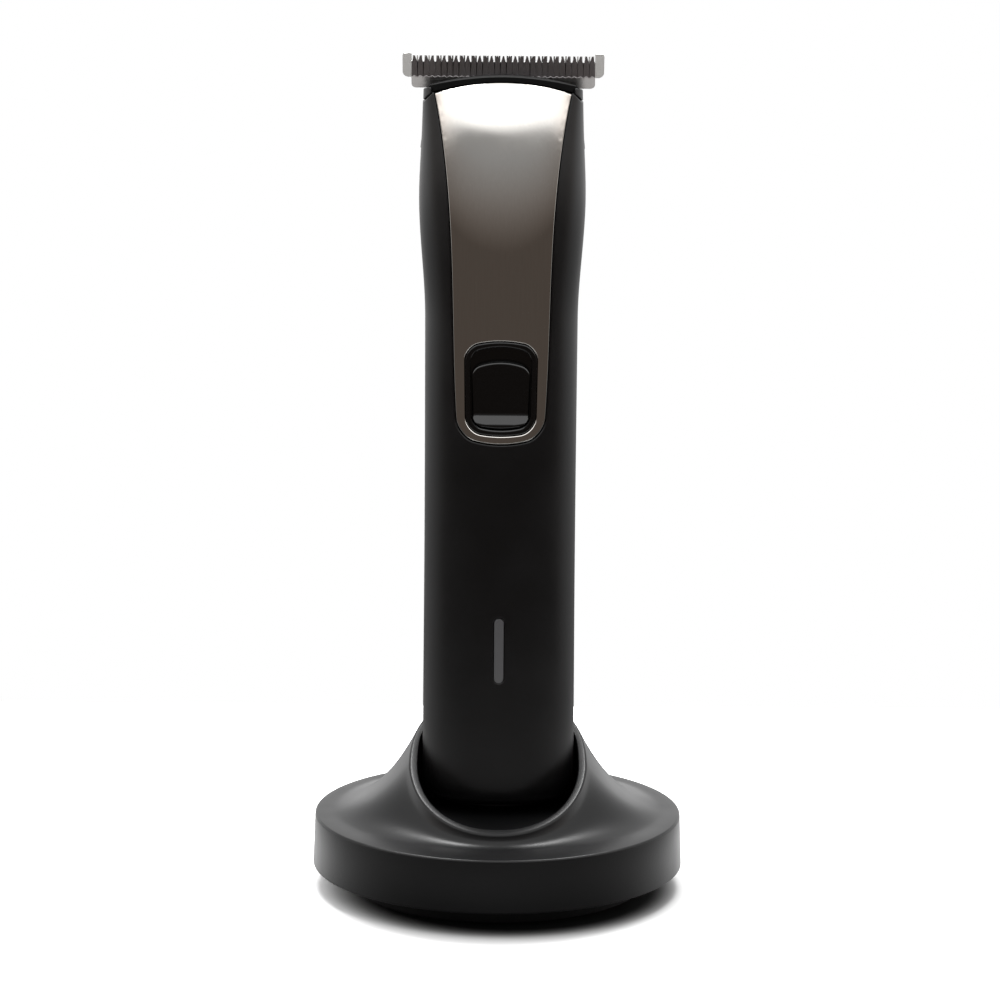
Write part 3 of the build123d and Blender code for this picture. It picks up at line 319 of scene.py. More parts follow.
def wound(rings):
    """Faces between closed rings of equal count, the last joined to the first."""
    n, count = len(rings[0]), len(rings)
    faces = []
    for r in range(count):
        here, there = r * n, (r + 1) % count * n
        faces += [(here + i, here + (i + 1) % n, there + (i + 1) % n, there + i) for i in range(n)]
    return np.vstack(rings), faces


def soften(before, corner, after, reach, parts=5):
    """Rings that round the corner between two others."""
    ends = []
    for other in (before, after):
        length = np.linalg.norm(other - corner, axis=1)[:, None]
        ends.append(corner + (other - corner) * np.minimum(reach / np.maximum(length, 1e-9), 0.5))
    return [(1 - t) ** 2 * ends[0] + 2 * t * (1 - t) * corner + t ** 2 * ends[1]
            for t in np.linspace(0, 1, parts)]


# Outlines

def spaced(points, step):
    """A line with even spacing between its two ends."""
    points = np.asarray(points, float)
    along = np.concatenate([[0], np.cumsum(np.linalg.norm(np.diff(points, axis=0), axis=1))])
    marks = np.linspace(0, along[-1], max(2, int(round(along[-1] / step)) + 1))
    return np.column_stack([np.interp(marks, along, points[:, k]) for k in (0, 1)])


def trimmed(points, start, end):
    """A line cut short at both ends."""
    along = np.concatenate([[0], np.cumsum(np.linalg.norm(np.diff(points, axis=0), axis=1))])
    keep = (along > start) & (along < along[-1] - end)
    ends = [[np.interp(mark, along, points[:, k]) for k in (0, 1)] for mark in (start, along[-1] - end)]
    return np.vstack([ends[:1], points[keep], ends[1:]])


def outline(lines, radii, step=0.4):
    """Closed loop of lines; radii rounds the corner after each of them."""
    pull = 0.55  # how far the arc's handles reach towards the corner
    lines = [spaced(line, step / 8) for line in lines]
    corners = []
    for one, two, radius in zip(lines, lines[1:] + lines[:1], radii):
        a, b = one[-1] - one[-2], two[1] - two[0]
        bend = math.acos(np.clip(np.dot(a, b) / np.linalg.norm(a) / np.linalg.norm(b), -1, 1))
        corners.append(radius * math.tan(bend / 2))
    loop = []
    for k, line in enumerate(lines):
        cut = trimmed(line, corners[k - 1], corners[k])
        loop.append(spaced(cut, step)[:-1])
        if corners[k] > 0:
            follow = trimmed(lines[(k + 1) % len(lines)], corners[k], 0)
            p, q, corner = cut[-1], follow[0], line[-1]
            pull_p, pull_q = p + pull * (corner - p), q + pull * (corner - q)
            t = np.linspace(0, 1, 60)[:, None]
            arc = (1 - t) ** 3 * p + 3 * t * (1 - t) ** 2 * pull_p + 3 * t * t * (1 - t) * pull_q + t ** 3 * q
            loop.append(spaced(arc, min(step, radii[k] / 5))[:-1])
        else:
            loop.append(cut[-1:])
    loop = np.vstack(loop)
    return loop[np.linalg.norm(loop - np.roll(loop, 1, axis=0), axis=1) > 1e-4]


def polygon(corners, radii, step=0.4):
    """Closed outline with straight sides; radii rounds the corner after each side."""
    return outline(list(zip(corners, corners[1:] + corners[:1])), radii, step)


def box_loop(half, low, high, corner):
    """Upright rectangle with round corners."""
    return polygon([(-half, low), (half, low), (half, high), (-half, high)], [corner] * 4)


def bow(half, level, crown):
    """Shallow arc from the left to the right through its crown."""
    rise = crown - level
    radius = (half ** 2 + rise ** 2) / (2 * rise)
    reach = math.asin(half / abs(radius))
    angles = np.linspace(-reach, reach, 80)
    return np.column_stack([abs(radius) * np.sin(angles), crown - radius + radius * np.cos(angles)])


def shield(low, high, half_low, half_high, crown_low, crown_high, corner):
    """Upright outline with bowed ends."""
    top = bow(half_high, high - crown_high, high)[::-1]
    bottom = bow(half_low, low + crown_low, low)
    return outline([bottom, [bottom[-1], top[0]], top, [top[-1], bottom[0]]], [corner] * 4)


def round_holes(x, y, radius):
    """Two round holes, one to each side."""
    turn = np.linspace(0, 2 * np.pi, 48, endpoint=False)
    return [np.column_stack([side * x + radius * np.cos(turn), y + radius * np.sin(turn)])
            for side in (-1, 1)]


def slot_loop(x, y, width, length):
    """Upright slot with round ends."""
    turn = np.linspace(0, np.pi, 24)
    top = np.column_stack([np.cos(turn), np.sin(turn)]) * width / 2 + (x, y + (length - width) / 2)
    return np.vstack([top, 2 * np.array([x, y]) - top])


# Clipper body. Its surface is unrolled: across is the turn from the front times a mean radius,
# and up is the way along the surface from the edge of the foot's flat.

FOOT_Z = 19.05
FOOT_ROUND = 3.4
POWER = 2.2  # of the squared oval that the body's section is
MEAN_RADIUS = 15.0
WALL = 1.8
CASE_EDGE, CASE_STEP = 0.22, 1.3
# height, half width, front and back
STATIONS = np.array([(0.0, 15.45, 13.0, 12.7), (62.0, 15.2, 12.9, 12.8), (98.0, 15.25, 12.7, 13.0),
                     (122.0, 16.55, 11.4, 11.9), (136.0, 16.0, 8.4, 8.7), (148.0, 15.65, 4.9, 5.2)])


def smooth_curve(at, size, height):
    """Even bend through all stations, straight at both ends."""
    span, count = np.diff(at), len(at)
    system, load = np.eye(count), np.zeros(count)
    for i in range(1, count - 1):
        system[i, i - 1:i + 2] = span[i - 1], 2 * (span[i - 1] + span[i]), span[i]
        load[i] = 6 * ((size[i + 1] - size[i]) / span[i] - (size[i] - size[i - 1]) / span[i - 1])
    bend = np.linalg.solve(system, load)
    i = np.clip(np.searchsorted(at, height, side="right") - 1, 0, count - 2)
    b = (height - at[i]) / span[i]
    a = 1 - b
    swing = (a ** 3 - a) * bend[i] + (b ** 3 - b) * bend[i + 1]
    return a * size[i] + b * size[i + 1] + swing * span[i] ** 2 / 6


def eased_curve(at, size, height):
    """Bend through all stations that never swings past them."""
    rise = np.diff(size) / np.diff(at)
    product, total = rise[:-1] * rise[1:], rise[:-1] + rise[1:]
    bend = np.where(product > 0, 2 * product / np.where(total == 0, 1, total), 0)
    slope = np.concatenate([rise[:1], bend, rise[-1:]])
    i = np.clip(np.searchsorted(at, height, side="right") - 1, 0, len(at) - 2)
    span = at[i + 1] - at[i]
    t = (height - at[i]) / span
    keep = (1 + 2 * t) * (1 - t) ** 2
    swing = span * t * (1 - t) * ((1 - t) * slope[i] - t * slope[i + 1])
    return keep * size[i] + (1 - keep) * size[i + 1] + swing


def girth(height):
    """Half width, front and back of the body at heights above its foot."""
    at, half, front, back = STATIONS.T
    return np.column_stack([eased_curve(at, half, height), smooth_curve(at, front, height),
                            smooth_curve(at, back, height)])


def section(way):
    """Height and girth at a way up the surface, round the foot's edge and on under the foot."""
    bend = np.clip(way / FOOT_ROUND, 0, np.pi / 2)
    height = FOOT_ROUND * (1 - np.cos(bend)) + np.maximum(way - FOOT_ROUND * np.pi / 2, 0)
    inset = FOOT_ROUND * (1 - np.sin(bend)) - np.minimum(way, 0)
    return height, *(girth(height).T - inset)


def on_body(flat):
    """Points of the unrolled surface in space."""
    turn = flat[:, 0] / MEAN_RADIUS
    height, half, front, back = section(flat[:, 1])
    c, s = np.sin(turn), -np.cos(turn)
    reach = (np.abs(c) ** POWER + np.abs(s) ** POWER) ** (-1 / POWER)
    y = (back - front) / 2 + (back + front) / 2 * s * reach
    return np.column_stack([half * c * reach, y, FOOT_Z + height])


def off_body(flat, out):
    """Points moved off the surface, square to it."""
    step = 0.05
    across = on_body(flat + (step, 0)) - on_body(flat - (step, 0))
    up = on_body(flat + (0, step)) - on_body(flat - (0, step))
    normal = np.cross(across, up)
    return on_body(flat) + out * normal / np.linalg.norm(normal, axis=1)[:, None]


def way_at(height):
    return height + FOOT_ROUND * (np.pi / 2 - 1)


def lean_of(share):
    """Turn past a quarter point of the section at which it has come this share of the way."""
    raised = np.clip(np.abs(share), 0, 0.9999) ** POWER
    return np.sign(share) * np.arctan((raised / (1 - raised)) ** (1 / POWER))


def wrapped(loop, behind=False):
    """An outline drawn in x and height, laid on the front or the back of the unrolled surface."""
    x, height = np.asarray(loop, float).T
    turn = lean_of(x / girth(height)[:, 0])
    return np.column_stack([MEAN_RADIUS * (np.pi - turn if behind else turn), way_at(height)])


def seam(way, y):
    """Turn of the parting plane at ways up the surface."""
    _, _, front, back = section(way)
    return np.pi / 2 + lean_of((y - (back - front) / 2) / ((back + front) / 2))


def under_foot(turn, half, depth):
    """Way, below the foot's edge, to an ellipse on the foot's flat."""
    near, far = np.zeros_like(turn), np.full_like(turn, 9.0)
    for _ in range(40):
        middle = (near + far) / 2
        x, y, _ = on_body(np.column_stack([turn * MEAN_RADIUS, -middle])).T
        outside = (x / half) ** 2 + (y / depth) ** 2 > 1
        near, far = np.where(outside, middle, near), np.where(outside, far, middle)
    return -near


SEAM_Y, SEAM_GAP = 1.0, 0.12
CHEEK_EDGE, CHEEK_TIP, CHEEK_X = 141.0, 142.7, 13.9
REAR_TOP = 131.4
CAP = (9.4, 5.6)
LIGHT_HEIGHT, LIGHT_WIDTH, LIGHT_LENGTH = 32.5, 2.05, 13.3
PANEL_EDGE = np.array([(8.55, 76.0), (9.6, 103.0), (10.75, 125.0), (13.4, 142.575)])
PANEL_ARCH, PANEL_DIP, PANEL_CORNER, PANEL_GAP = 144.95, 74.3, 5.4, 0.25
PANEL_PROUD, PANEL_BACK = 0.1, -0.7
WINDOW_LOW, WINDOW_HIGH, WINDOW_CORNER = 75.8, 94.8, 4.0
WINDOW_HALVES, WINDOW_CROWNS = (7.05, 7.3), (0.9, 1.4)


def panel_sides(grow):
    """Right hand side of the front panel, from its foot to its top, as x and height."""
    x, at = PANEL_EDGE.T
    middle = 110
    fit = np.polyfit(at - middle, x, 3)
    height = np.linspace(at[0] - grow, at[-1] + grow, 120)
    return np.column_stack([np.polyval(fit, height - middle) + grow, height])


def panel_loop(grow):
    side = panel_sides(grow)
    top = bow(side[-1, 0], side[-1, 1], PANEL_ARCH - PANEL_GAP / 2 + grow)[::-1]
    bottom = bow(side[0, 0], side[0, 1], PANEL_DIP - grow)
    return outline([bottom, side, top, side[::-1] * (-1, 1)], [PANEL_CORNER, 0, 0, PANEL_CORNER])


def switch_loop(low, high, inset):
    """Outline of the switch window between two heights, its sides and corners drawn in by inset."""
    return shield(low, high, WINDOW_HALVES[0] - inset, WINDOW_HALVES[1] - inset, *WINDOW_CROWNS,
                  WINDOW_CORNER - inset)


def window_loop(inset):
    return switch_loop(WINDOW_LOW + inset, WINDOW_HIGH - inset, inset)


def laid(out):
    """Lays flat points at a distance off the body, sunk by a depth."""
    return lambda flat, sink=0: off_body(flat, out - sink)


def case_edges(y, top, behind):
    """Edges of a housing half: under the foot, and up along its parting plane."""
    low = seam(np.array([0.0]), y)[0]
    turns = np.linspace(low if behind else -low, 2 * np.pi - low if behind else low, 160)
    foot = np.column_stack([turns * MEAN_RADIUS, under_foot(turns, *CAP)])
    climb = foot[-1, 1] + (way_at(top) - foot[-1, 1]) * np.linspace(0, 1, 200)
    return foot, np.column_stack([seam(np.maximum(climb, 0), y) * MEAN_RADIUS, climb])


# Front housing, one skin round the panel's bed

foot_line, side_line = case_edges(SEAM_Y - SEAM_GAP / 2, CHEEK_EDGE, False)
bed = panel_sides(PANEL_GAP)
bed_foot = bow(bed[0, 0], bed[0, 1], PANEL_DIP - PANEL_GAP)
tip = np.array([(CHEEK_X + CHEEK_TIP - CHEEK_EDGE, CHEEK_EDGE), (CHEEK_X, CHEEK_TIP),
                (bed[-1, 0], CHEEK_TIP + 0.08)])
cheek = wrapped(np.vstack([spaced(tip[:2], 0.1), tip[2:]]))
bed_loop = outline([bed[::-1], bed_foot[::-1], bed * (-1, 1), [bed[-1] * (-1, 1), bed[-1]]],
                   [PANEL_CORNER, PANEL_CORNER, 0, 0])
dip = bed_loop[bed_loop[:, 1] < CHEEK_TIP - 0.05]
start = np.argmax(dip[:, 0] + dip[:, 1])
dip = wrapped(np.roll(dip, -start, axis=0))
right = [side_line, [side_line[-1], cheek[0]], cheek]
left = [line[::-1] * (-1, 1) for line in map(np.asarray, reversed(right))]
around = np.vstack([spaced(line, 0.5)[:-1] for line in [foot_line, *right]] + [cheek[-1:]]
                   + [spaced(np.vstack([cheek[-1:], dip, cheek[-1:] * (-1, 1)]), 0.4)[1:]]
                   + [spaced(line, 0.5)[1:] for line in left])
light = wrapped(slot_loop(0, LIGHT_HEIGHT, LIGHT_WIDTH, LIGHT_LENGTH))
piece("front_case", "clipper", "front_housing",
      skin(around[:-1], [light], laid(0), laid(-WALL), CASE_EDGE, CASE_STEP))

# Rear housing, with the two sunk screw holes

SCREW_X, SCREW_HEIGHT, SCREW_HOLE = 10.9, 70.0, 2.0
foot_line, rise = case_edges(SEAM_Y + SEAM_GAP / 2, REAR_TOP, True)
other = rise * (-1, 1) + (2 * np.pi * MEAN_RADIUS, 0)
around = np.vstack([spaced(line, 0.5)[:-1] for line in [foot_line, other, [other[-1], rise[-1]], rise[::-1]]])
holes = [wrapped(hole, True) for hole in round_holes(SCREW_X, SCREW_HEIGHT, SCREW_HOLE)]
piece("rear_case", "clipper", "rear_housing",
      skin(around, holes, laid(0), laid(-WALL), CASE_EDGE, CASE_STEP))

# Housing screws, sunk below the curve of the rear, each with a six-lobed recess

LOBES, SCREW_STEPS = 6, 72
# radius, wave and y of each ring, from the point over the head into the recess
SCREW_RINGS = ((1.0, 0, -4.9), (1.1, 0, -4.6), (1.1, 0, 6.2), (1.76, 0, 6.2), (1.88, 0, 6.32),
               (1.88, 0, 6.9), (1.8, 0, 7.1), (1.6, 0, 7.24), (1.3, 0, 7.33), (1.05, 0, 7.37),
               (0.84, 0.13, 7.38), (0.8, 0.13, 7.3), (0.78, 0.13, 6.5))


def case_screw(x):
    turn = np.linspace(0, 2 * np.pi, SCREW_STEPS, endpoint=False)
    rings = []
    for radius, wave, y in SCREW_RINGS:
        reach = radius + wave * np.cos(LOBES * turn)
        rings.append(np.column_stack([x + reach * np.cos(turn), np.full(SCREW_STEPS, y),
                                      FOOT_Z + SCREW_HEIGHT + reach * np.sin(turn)]))
    points, faces = wound(rings)
    ends = [tuple(range(SCREW_STEPS)), tuple(range(len(points) - SCREW_STEPS, len(points)))]
    return points, faces[:-SCREW_STEPS] + ends


piece("case_screws", "clipper", "housing_screws", joined(case_screw(-SCREW_X), case_screw(SCREW_X)), 35.0)

# Shoulders of the blade base, which carry the housing's sides on up to the blade

SHOULDER_X, SHOULDER_TOP, SHOULDER_REAR = 14.3, 143.7, 2.0


def shoulder(side):
    foot = CHEEK_EDGE + 0.15
    start = wrapped([(SHOULDER_X, CHEEK_TIP - 0.25), (CHEEK_X + CHEEK_TIP - CHEEK_EDGE, foot)])
    rear = seam(np.array([way_at(CHEEK_EDGE)]), SEAM_Y + SHOULDER_REAR)[0] * MEAN_RADIUS
    low, high = (rear, way_at(foot)), (rear, way_at(SHOULDER_TOP - 0.9))
    front = wrapped([(SHOULDER_X, SHOULDER_TOP)])[0]
    loop = outline([start, [start[-1], low], [low, high], [high, front], [front, start[0]]],
                   [0, 0.5, 0.6, 0.6, 0], 0.3)
    return skin(loop * (side, 1), [], laid(-0.05), laid(-1.5), 0.14, 0.6)


shoulders = mesh_of("nose_shoulders", joined(shoulder(-1), shoulder(1)))
finish("nose_shoulders", "clipper", "blade_base", shoulders, alone=False)

# Front panel, proud of the housing, with its bright bevelled edge

piece("steel_panel", "clipper", "front_panel",
      skin(wrapped(panel_loop(0)), [wrapped(window_loop(0))], laid(PANEL_PROUD), laid(PANEL_BACK), 0.16, 0.6))

# Switch frame with a rolled rim, its pocket, and the button

POCKET_Y = -9.6
BUTTON_LOW, BUTTON_LENGTH, BUTTON_INSET, CREST = 77.25, 13.3, 1.45, -12.6
STEM_HALF, STEM_LOW, STEM_HIGH, STEM_END = 2.2, 81.7, 86.1, -6.6
SLOT_HALF, SLOT_BELOW, SLOT_ABOVE = 2.5, 2.5, 5.4


def rolled(flat, sink):
    return on_body(flat) + (0, sink, 0)


def pocketed(flat):
    return on_body(flat) * (1, 0, 1) + (0, POCKET_Y, 0)


def dished(flat, sink):
    """The button's front: a ridge near its foot that faces up, and a hollow that runs out above it."""
    up = flat[:, 1] - BUTTON_LOW
    ridge, hollow = 0.62 * (up - 0.9), 1.1 - 0.055 * (up - 2.6)
    carve = (ridge + hollow - np.sqrt((ridge - hollow) ** 2 + 0.06)) / 2
    carve = (carve + np.sqrt(carve ** 2 + 0.02)) / 2
    return np.column_stack([flat[:, 0], CREST + carve + sink, FOOT_Z + flat[:, 1]])


def upright_at(y):
    """Lays flat points square to the front, sunk towards the rear."""
    return lambda flat, sink=0: np.column_stack(
        [flat[:, 0], np.full(len(flat), y + sink), FOOT_Z + flat[:, 1]])


rim = skin(wrapped(window_loop(0.1)), [wrapped(window_loop(1.25))], rolled, pocketed, 0.3, 0.6)
middle = BUTTON_LOW + BUTTON_LENGTH / 2
stem_slot = box_loop(SLOT_HALF, middle - SLOT_BELOW, middle + SLOT_ABOVE, 0.4)
floor = skin(window_loop(0.4), [stem_slot], upright_at(POCKET_Y), upright_at(POCKET_Y + 0.8), 0.1, 1.0)
piece("switch_frame", "clipper", "switch_bezel", joined(rim, floor))
thumb = skin(switch_loop(BUTTON_LOW, BUTTON_LOW + BUTTON_LENGTH, BUTTON_INSET), [], dished,
             upright_at(POCKET_Y - 0.2), 0.4, 0.5)
stem = skin(box_loop(STEM_HALF, STEM_LOW, STEM_HIGH, 0.3), [], upright_at(POCKET_Y - 0.4),
            upright_at(STEM_END), 0.1, 1.5)
piece("thumb_button", "switch", "switch_button", joined(thumb, stem))


# Blades. Each row of teeth is one tooth repeated by a Geometry Nodes tree. The blade's own frame
# has X across, Y down from the tooth tips and Z to the rear, with Z = 0 between the two blades.

LEAN, BLADE_Y, BLADE_TOP = math.radians(15.0), 3.5, 150.0
blade_frame = Matrix(((1, 0, 0, 0), (0, math.sin(LEAN), math.cos(LEAN), BLADE_Y * MM),
                      (0, -math.cos(LEAN), math.sin(LEAN), (FOOT_Z + BLADE_TOP) * MM), (0, 0, 0, 1)))
TOOTH_SPAN = 36.4
half = TOOTH_SPAN / 2


def tooth_row(name, tooth, count, material):
    """A mesh of equal teeth side by side over the cutting width."""
    tree = bpy.data.node_groups.new(name, "GeometryNodeTree")
    sockets = {}
    for label, kind in (("Tooth", "Geometry"), ("Count", "Int"), ("Pitch", "Float"), ("Finish", "Material")):
        made = tree.interface.new_socket(label, in_out="INPUT", socket_type="NodeSocket" + kind)
        sockets[label] = made.identifier
    tree.interface.new_socket("Row", in_out="OUTPUT", socket_type="NodeSocketGeometry")
    given = add(tree, "NodeGroupInput").outputs
    gaps = add(tree, "ShaderNodeMath", {"operation": "SUBTRACT", 1: 1.0}, {0: given["Count"]})
    width = add(tree, "ShaderNodeMath", {"operation": "MULTIPLY"}, {0: gaps.outputs[0], 1: given["Pitch"]})
    first = add(tree, "ShaderNodeMath", {"operation": "MULTIPLY", 1: -0.5}, {0: width.outputs[0]})
    start = add(tree, "ShaderNodeCombineXYZ", links={"X": first.outputs[0]})
    step = add(tree, "ShaderNodeCombineXYZ", links={"X": given["Pitch"]})
    line = add(tree, "GeometryNodeMeshLine", {"mode": "OFFSET"},
               {"Count": given["Count"], "Start Location": start.outputs[0], "Offset": step.outputs[0]})
    placed = add(tree, "GeometryNodeInstanceOnPoints",
                 links={"Points": line.outputs[0], "Instance": given["Tooth"]})
    whole = add(tree, "GeometryNodeRealizeInstances", links={"Geometry": placed.outputs[0]})
    coated = add(tree, "GeometryNodeSetMaterial",
                 links={"Geometry": whole.outputs[0], "Material": given["Finish"]})
    add(tree, "NodeGroupOutput", links={"Row": coated.outputs[0]})
    holder = bpy.data.objects.new(name, mesh_of(name, tooth))
    scene.collection.objects.link(holder)
    maker = holder.modifiers.new(name, "NODES")
    maker.node_group = tree
    maker[sockets["Count"]] = count
    maker[sockets["Pitch"]] = TOOTH_SPAN / count * MM
    maker[sockets["Finish"]] = material
    ready = holder.evaluated_get(bpy.context.evaluated_depsgraph_get())
    row = bpy.data.meshes.new_from_object(ready)
    bpy.data.objects.remove(holder)
    return row


def with_row(name, body, node, plate, row, painted_dark):
    """Mesh of a blade made from its plate and its row of teeth, which may take the steel painted darker."""
    mesh = mesh_of(name, plate)
    form = bmesh.new()
    form.from_mesh(mesh)
    count = len(form.faces)
    form.from_mesh(row)
    for face in list(form.faces)[count:]:
        face.material_index = int(painted_dark)
    form.to_mesh(mesh)
    form.free()
    mesh.transform(blade_frame)
    blade = finish(name, body, node, mesh, 30.0).data
    blade.materials.append(steel_painted_dark)
    return blade


def flat_at(z):
    """Lays flat points square to the blade's depth, sunk towards the rear."""
    return lambda flat, sink=0: np.column_stack([flat, np.full(len(flat), z + sink)])


COMB_TEETH, COMB_ROOT = 47, 1.95
COMB_TIP_THICK, COMB_THICK, COMB_SLOPE = 0.35, 1.6, 3.0
TIP_GAP, ROOT_GAP = 0.48, 0.40
TAB_X, TAB_Y, WAIST_X, WAIST_Y = 20, 5.0, 15.2, 7.3
SHANK_X, SHANK_TOP, SHANK_END = 11, 10.0, 18.6
TAB_TOP_ROUND, PLATE_ROUND = 0.6, 1.2
BLADE_HOLE = (8.4, 13.4, 1.3)


def comb_back(y):
    """Rear face of the comb: ground thin towards the tooth tips."""
    return np.minimum(COMB_THICK, COMB_TIP_THICK + (COMB_THICK - COMB_TIP_THICK) * y / COMB_SLOPE)


comb_pitch = TOOTH_SPAN / COMB_TEETH
tip_half, root_half = (comb_pitch - TIP_GAP) / 2, (comb_pitch - ROOT_GAP) / 2
# y, half width and front; the tips are bevelled where they stand past the cutter, to catch light
stations = ((0.05, tip_half * 0.8, 0.25), (0.45, tip_half, 0.0), (COMB_ROOT + 0.05, root_half, 0.0))
tooth = [(side * width, y, z) for y, width, front in stations
         for z in (front, float(comb_back(np.array(y)))) for side in (-1, 1)]
bars = [(0, 1, 3, 2), (0, 4, 5, 1), (1, 5, 7, 3), (3, 7, 6, 2), (2, 6, 4, 0),
        (4, 8, 9, 5), (5, 9, 11, 7), (7, 11, 10, 6), (6, 10, 8, 4), (8, 10, 11, 9)]
comb_row = tooth_row("comb_teeth", (tooth, bars), COMB_TEETH, finishes["blade_steel"])
right = [(half, COMB_ROOT), (half, 0), (TAB_X, 0), (TAB_X, TAB_Y), (WAIST_X, TAB_Y), (WAIST_X, WAIST_Y),
         (SHANK_X, SHANK_TOP), (SHANK_X, SHANK_END)]
left = [(-x, y) for x, y in right[::-1]]
radii = [0, 0, 0, 0, TAB_TOP_ROUND, PLATE_ROUND, 0, 0, 0, PLATE_ROUND, PLATE_ROUND, 0, 0, 0, PLATE_ROUND,
         TAB_TOP_ROUND]
plate = skin(polygon(left[-3:] + right + left[:-3], radii, 0.5), round_holes(*BLADE_HOLE), flat_at(0),
             lambda flat: np.column_stack([flat, comb_back(flat[:, 1])]), 0.08, 1.0)
comb = with_row("comb_blade", "clipper", "fixed_blade", plate, comb_row, False)
# faces that face the rear take the steel painted darker: painted shade on the comb's rear
for side in comb.polygons:
    if side.normal.y > 0.5:  # faces the rear
        side.material_index = 1

# The cutter's ground strip: each tooth with half of the groove on either side of it, run in under the
# step below. The step's upper border is scalloped where the grooves run out.

CUTTER_TEETH = 31
GROUND = (0.42, 4.2)
STEP_FACE, BACK_FACE, STEP_END = -1.5, -0.03, 6.7
TONGUE_HALF, TONGUE_END = 4.8, 17.0
GROOVE_TOP, STRIP_END = 1.7, 4.7
TIP_INSET, GROOVE_INSET, END_INSET, GROOVE_FALL = 0.47, 0.11, 0.03, 0.16
SCALLOP = 0.28
pitch = TOOTH_SPAN / CUTTER_TEETH


def ground(y):
    """Front of the ground strip."""
    return -0.35 - 0.9 * (y - GROUND[0]) / (GROUND[1] - GROUND[0])


edge_x = pitch / 2
tooth, faces = [], []
for side in (-1, 1):
    tip, groove, end, rim = [side * (edge_x - inset) for inset in (TIP_INSET, GROOVE_INSET, END_INSET, 0)]
    tooth += [(tip, GROUND[0], ground(GROUND[0])), (tip, GROUND[0], BACK_FACE),
              (groove, GROOVE_TOP, ground(GROOVE_TOP)), (groove, GROOVE_TOP, BACK_FACE),
              (rim, GROOVE_TOP, BACK_FACE), (end, STRIP_END, ground(STRIP_END)),
              (rim, STRIP_END, ground(STRIP_END) + GROOVE_FALL), (rim, STRIP_END, BACK_FACE)]
    k = 0 if side < 0 else 8
    faces += [(k, k + 2, k + 3, k + 1), (k + 2, k + 4, k + 3), (k + 2, k + 5, k + 6, k + 4),
              (k + 4, k + 6, k + 7)]
faces += [(0, 8, 10, 2), (2, 10, 13, 5), (0, 1, 9, 8), (1, 3, 11, 9), (3, 4, 7, 15, 12, 11),
          (5, 13, 14, 15, 7, 6)]
# the cutter's teeth take the steel painted darker: a painted dark reflection on its ground strip
cutter_row = tooth_row("cutter_teeth", (tooth, faces), CUTTER_TEETH, steel_painted_dark)
across = np.linspace(-half, half, CUTTER_TEETH * 8 + 1)
wave = np.abs(np.cos(np.pi * (across + half) / pitch)) ** 2
scallop = np.column_stack([across, GROUND[1] + SCALLOP * wave])
corners = [(half, STEP_END), (TONGUE_HALF, STEP_END), (TONGUE_HALF, TONGUE_END), (-TONGUE_HALF, TONGUE_END),
           (-TONGUE_HALF, STEP_END), (-half, STEP_END)]
lines = [scallop, [scallop[-1], corners[0]]] + list(zip(corners, corners[1:])) + [[corners[-1], scallop[0]]]
loop = outline(lines, [0, 0.9, 0, 0.3, 0.3, 0, 0.9, 0], 0.25)
plate = skin(loop, [], flat_at(STEP_FACE), flat_at(BACK_FACE), 0.07, 1.0)
with_row("cutter_blade", "cutter", "moving_blade", plate, cutter_row, True)


# Stand: drafted wall, rounded rim, flared pedestal and slanted lip, drawn as rings from the foot of
# the wall over the lip to the socket's floor and back underneath

columns = np.linspace(0, 2 * np.pi, 288, endpoint=False)
WALL_Z, WALL_RADIUS, WALL_INNER = 4.6, 37.7, 35.5
RIM_Z, RIM_RADIUS, DECK_Z, DECK_RADIUS = 15.3, 37.3, 13.1, 35.1
LIP = np.array([17.85, 27.8, 15.8])  # half width, front and back, as for the flare's foot
LIP_FRONT_RISE, LIP_BACK_RISE, LIP_BAND = 2.5, 21.0, 1.6
FLARE_FOOT, FLARE_SINK, FLARE_CURVE = np.array([35.4, 33.0, 35.4]), 0.12, 2.1
SOCKET_Z, SEAT_Z, SEAT_BACK = 17.4, 19.0, 2.2
WELL, WELL_DEPTH, SEAT = (8.5, 4.5, 4.5), 4.3, (9.0, 5.0)
PIN_X, PIN_HOLE = 5.0, 1.26
INLET_RADIUS, INLET_Y, INLET_Z, INLET_REACH = 3.0, 36.5, 9.65, 10


def oval(size, power, front_power, z_front, z_back):
    """Squared oval on a plane that rises from the front to the back."""
    wide, front, back = size
    c, s = np.cos(columns), np.sin(columns)
    p = np.where(s < 0, front_power, power)
    reach = (np.abs(c) ** p + np.abs(s) ** p) ** (-1 / p)
    x, y = wide * c * reach, (back - front) / 2 + (back + front) / 2 * s * reach
    return np.column_stack([x, y, z_front + (z_back - z_front) * (y + front) / (front + back)])


def disc(radius, z):
    return oval((radius,) * 3, 2.0, 2.0, z, z)


def flare(u):
    """Ring of the pedestal, from the lip at 0 to its foot at 1: a sweep at the back and sides, and a
    tight hollow at the front, where the lip is low."""
    front = np.clip(-np.sin(columns), 0, 1)
    front = front ** 2 * (3 - 2 * front)
    fall = (1 - front) * (1 - u) ** FLARE_CURVE + front * (1 - (1 - (1 - u) ** 3) ** (1 / 3))
    ring = oval(LIP + (FLARE_FOOT - LIP) * u, 2.35 - 0.35 * u, 2.1 - 0.1 * u, RIM_Z + LIP_FRONT_RISE,
                RIM_Z + LIP_BACK_RISE)
    low = RIM_Z - FLARE_SINK
    over = low + (ring[:, 2] - low) * fall - RIM_Z
    ring[:, 2] = RIM_Z + (over + np.sqrt(over ** 2 + 0.006)) / 2
    return ring


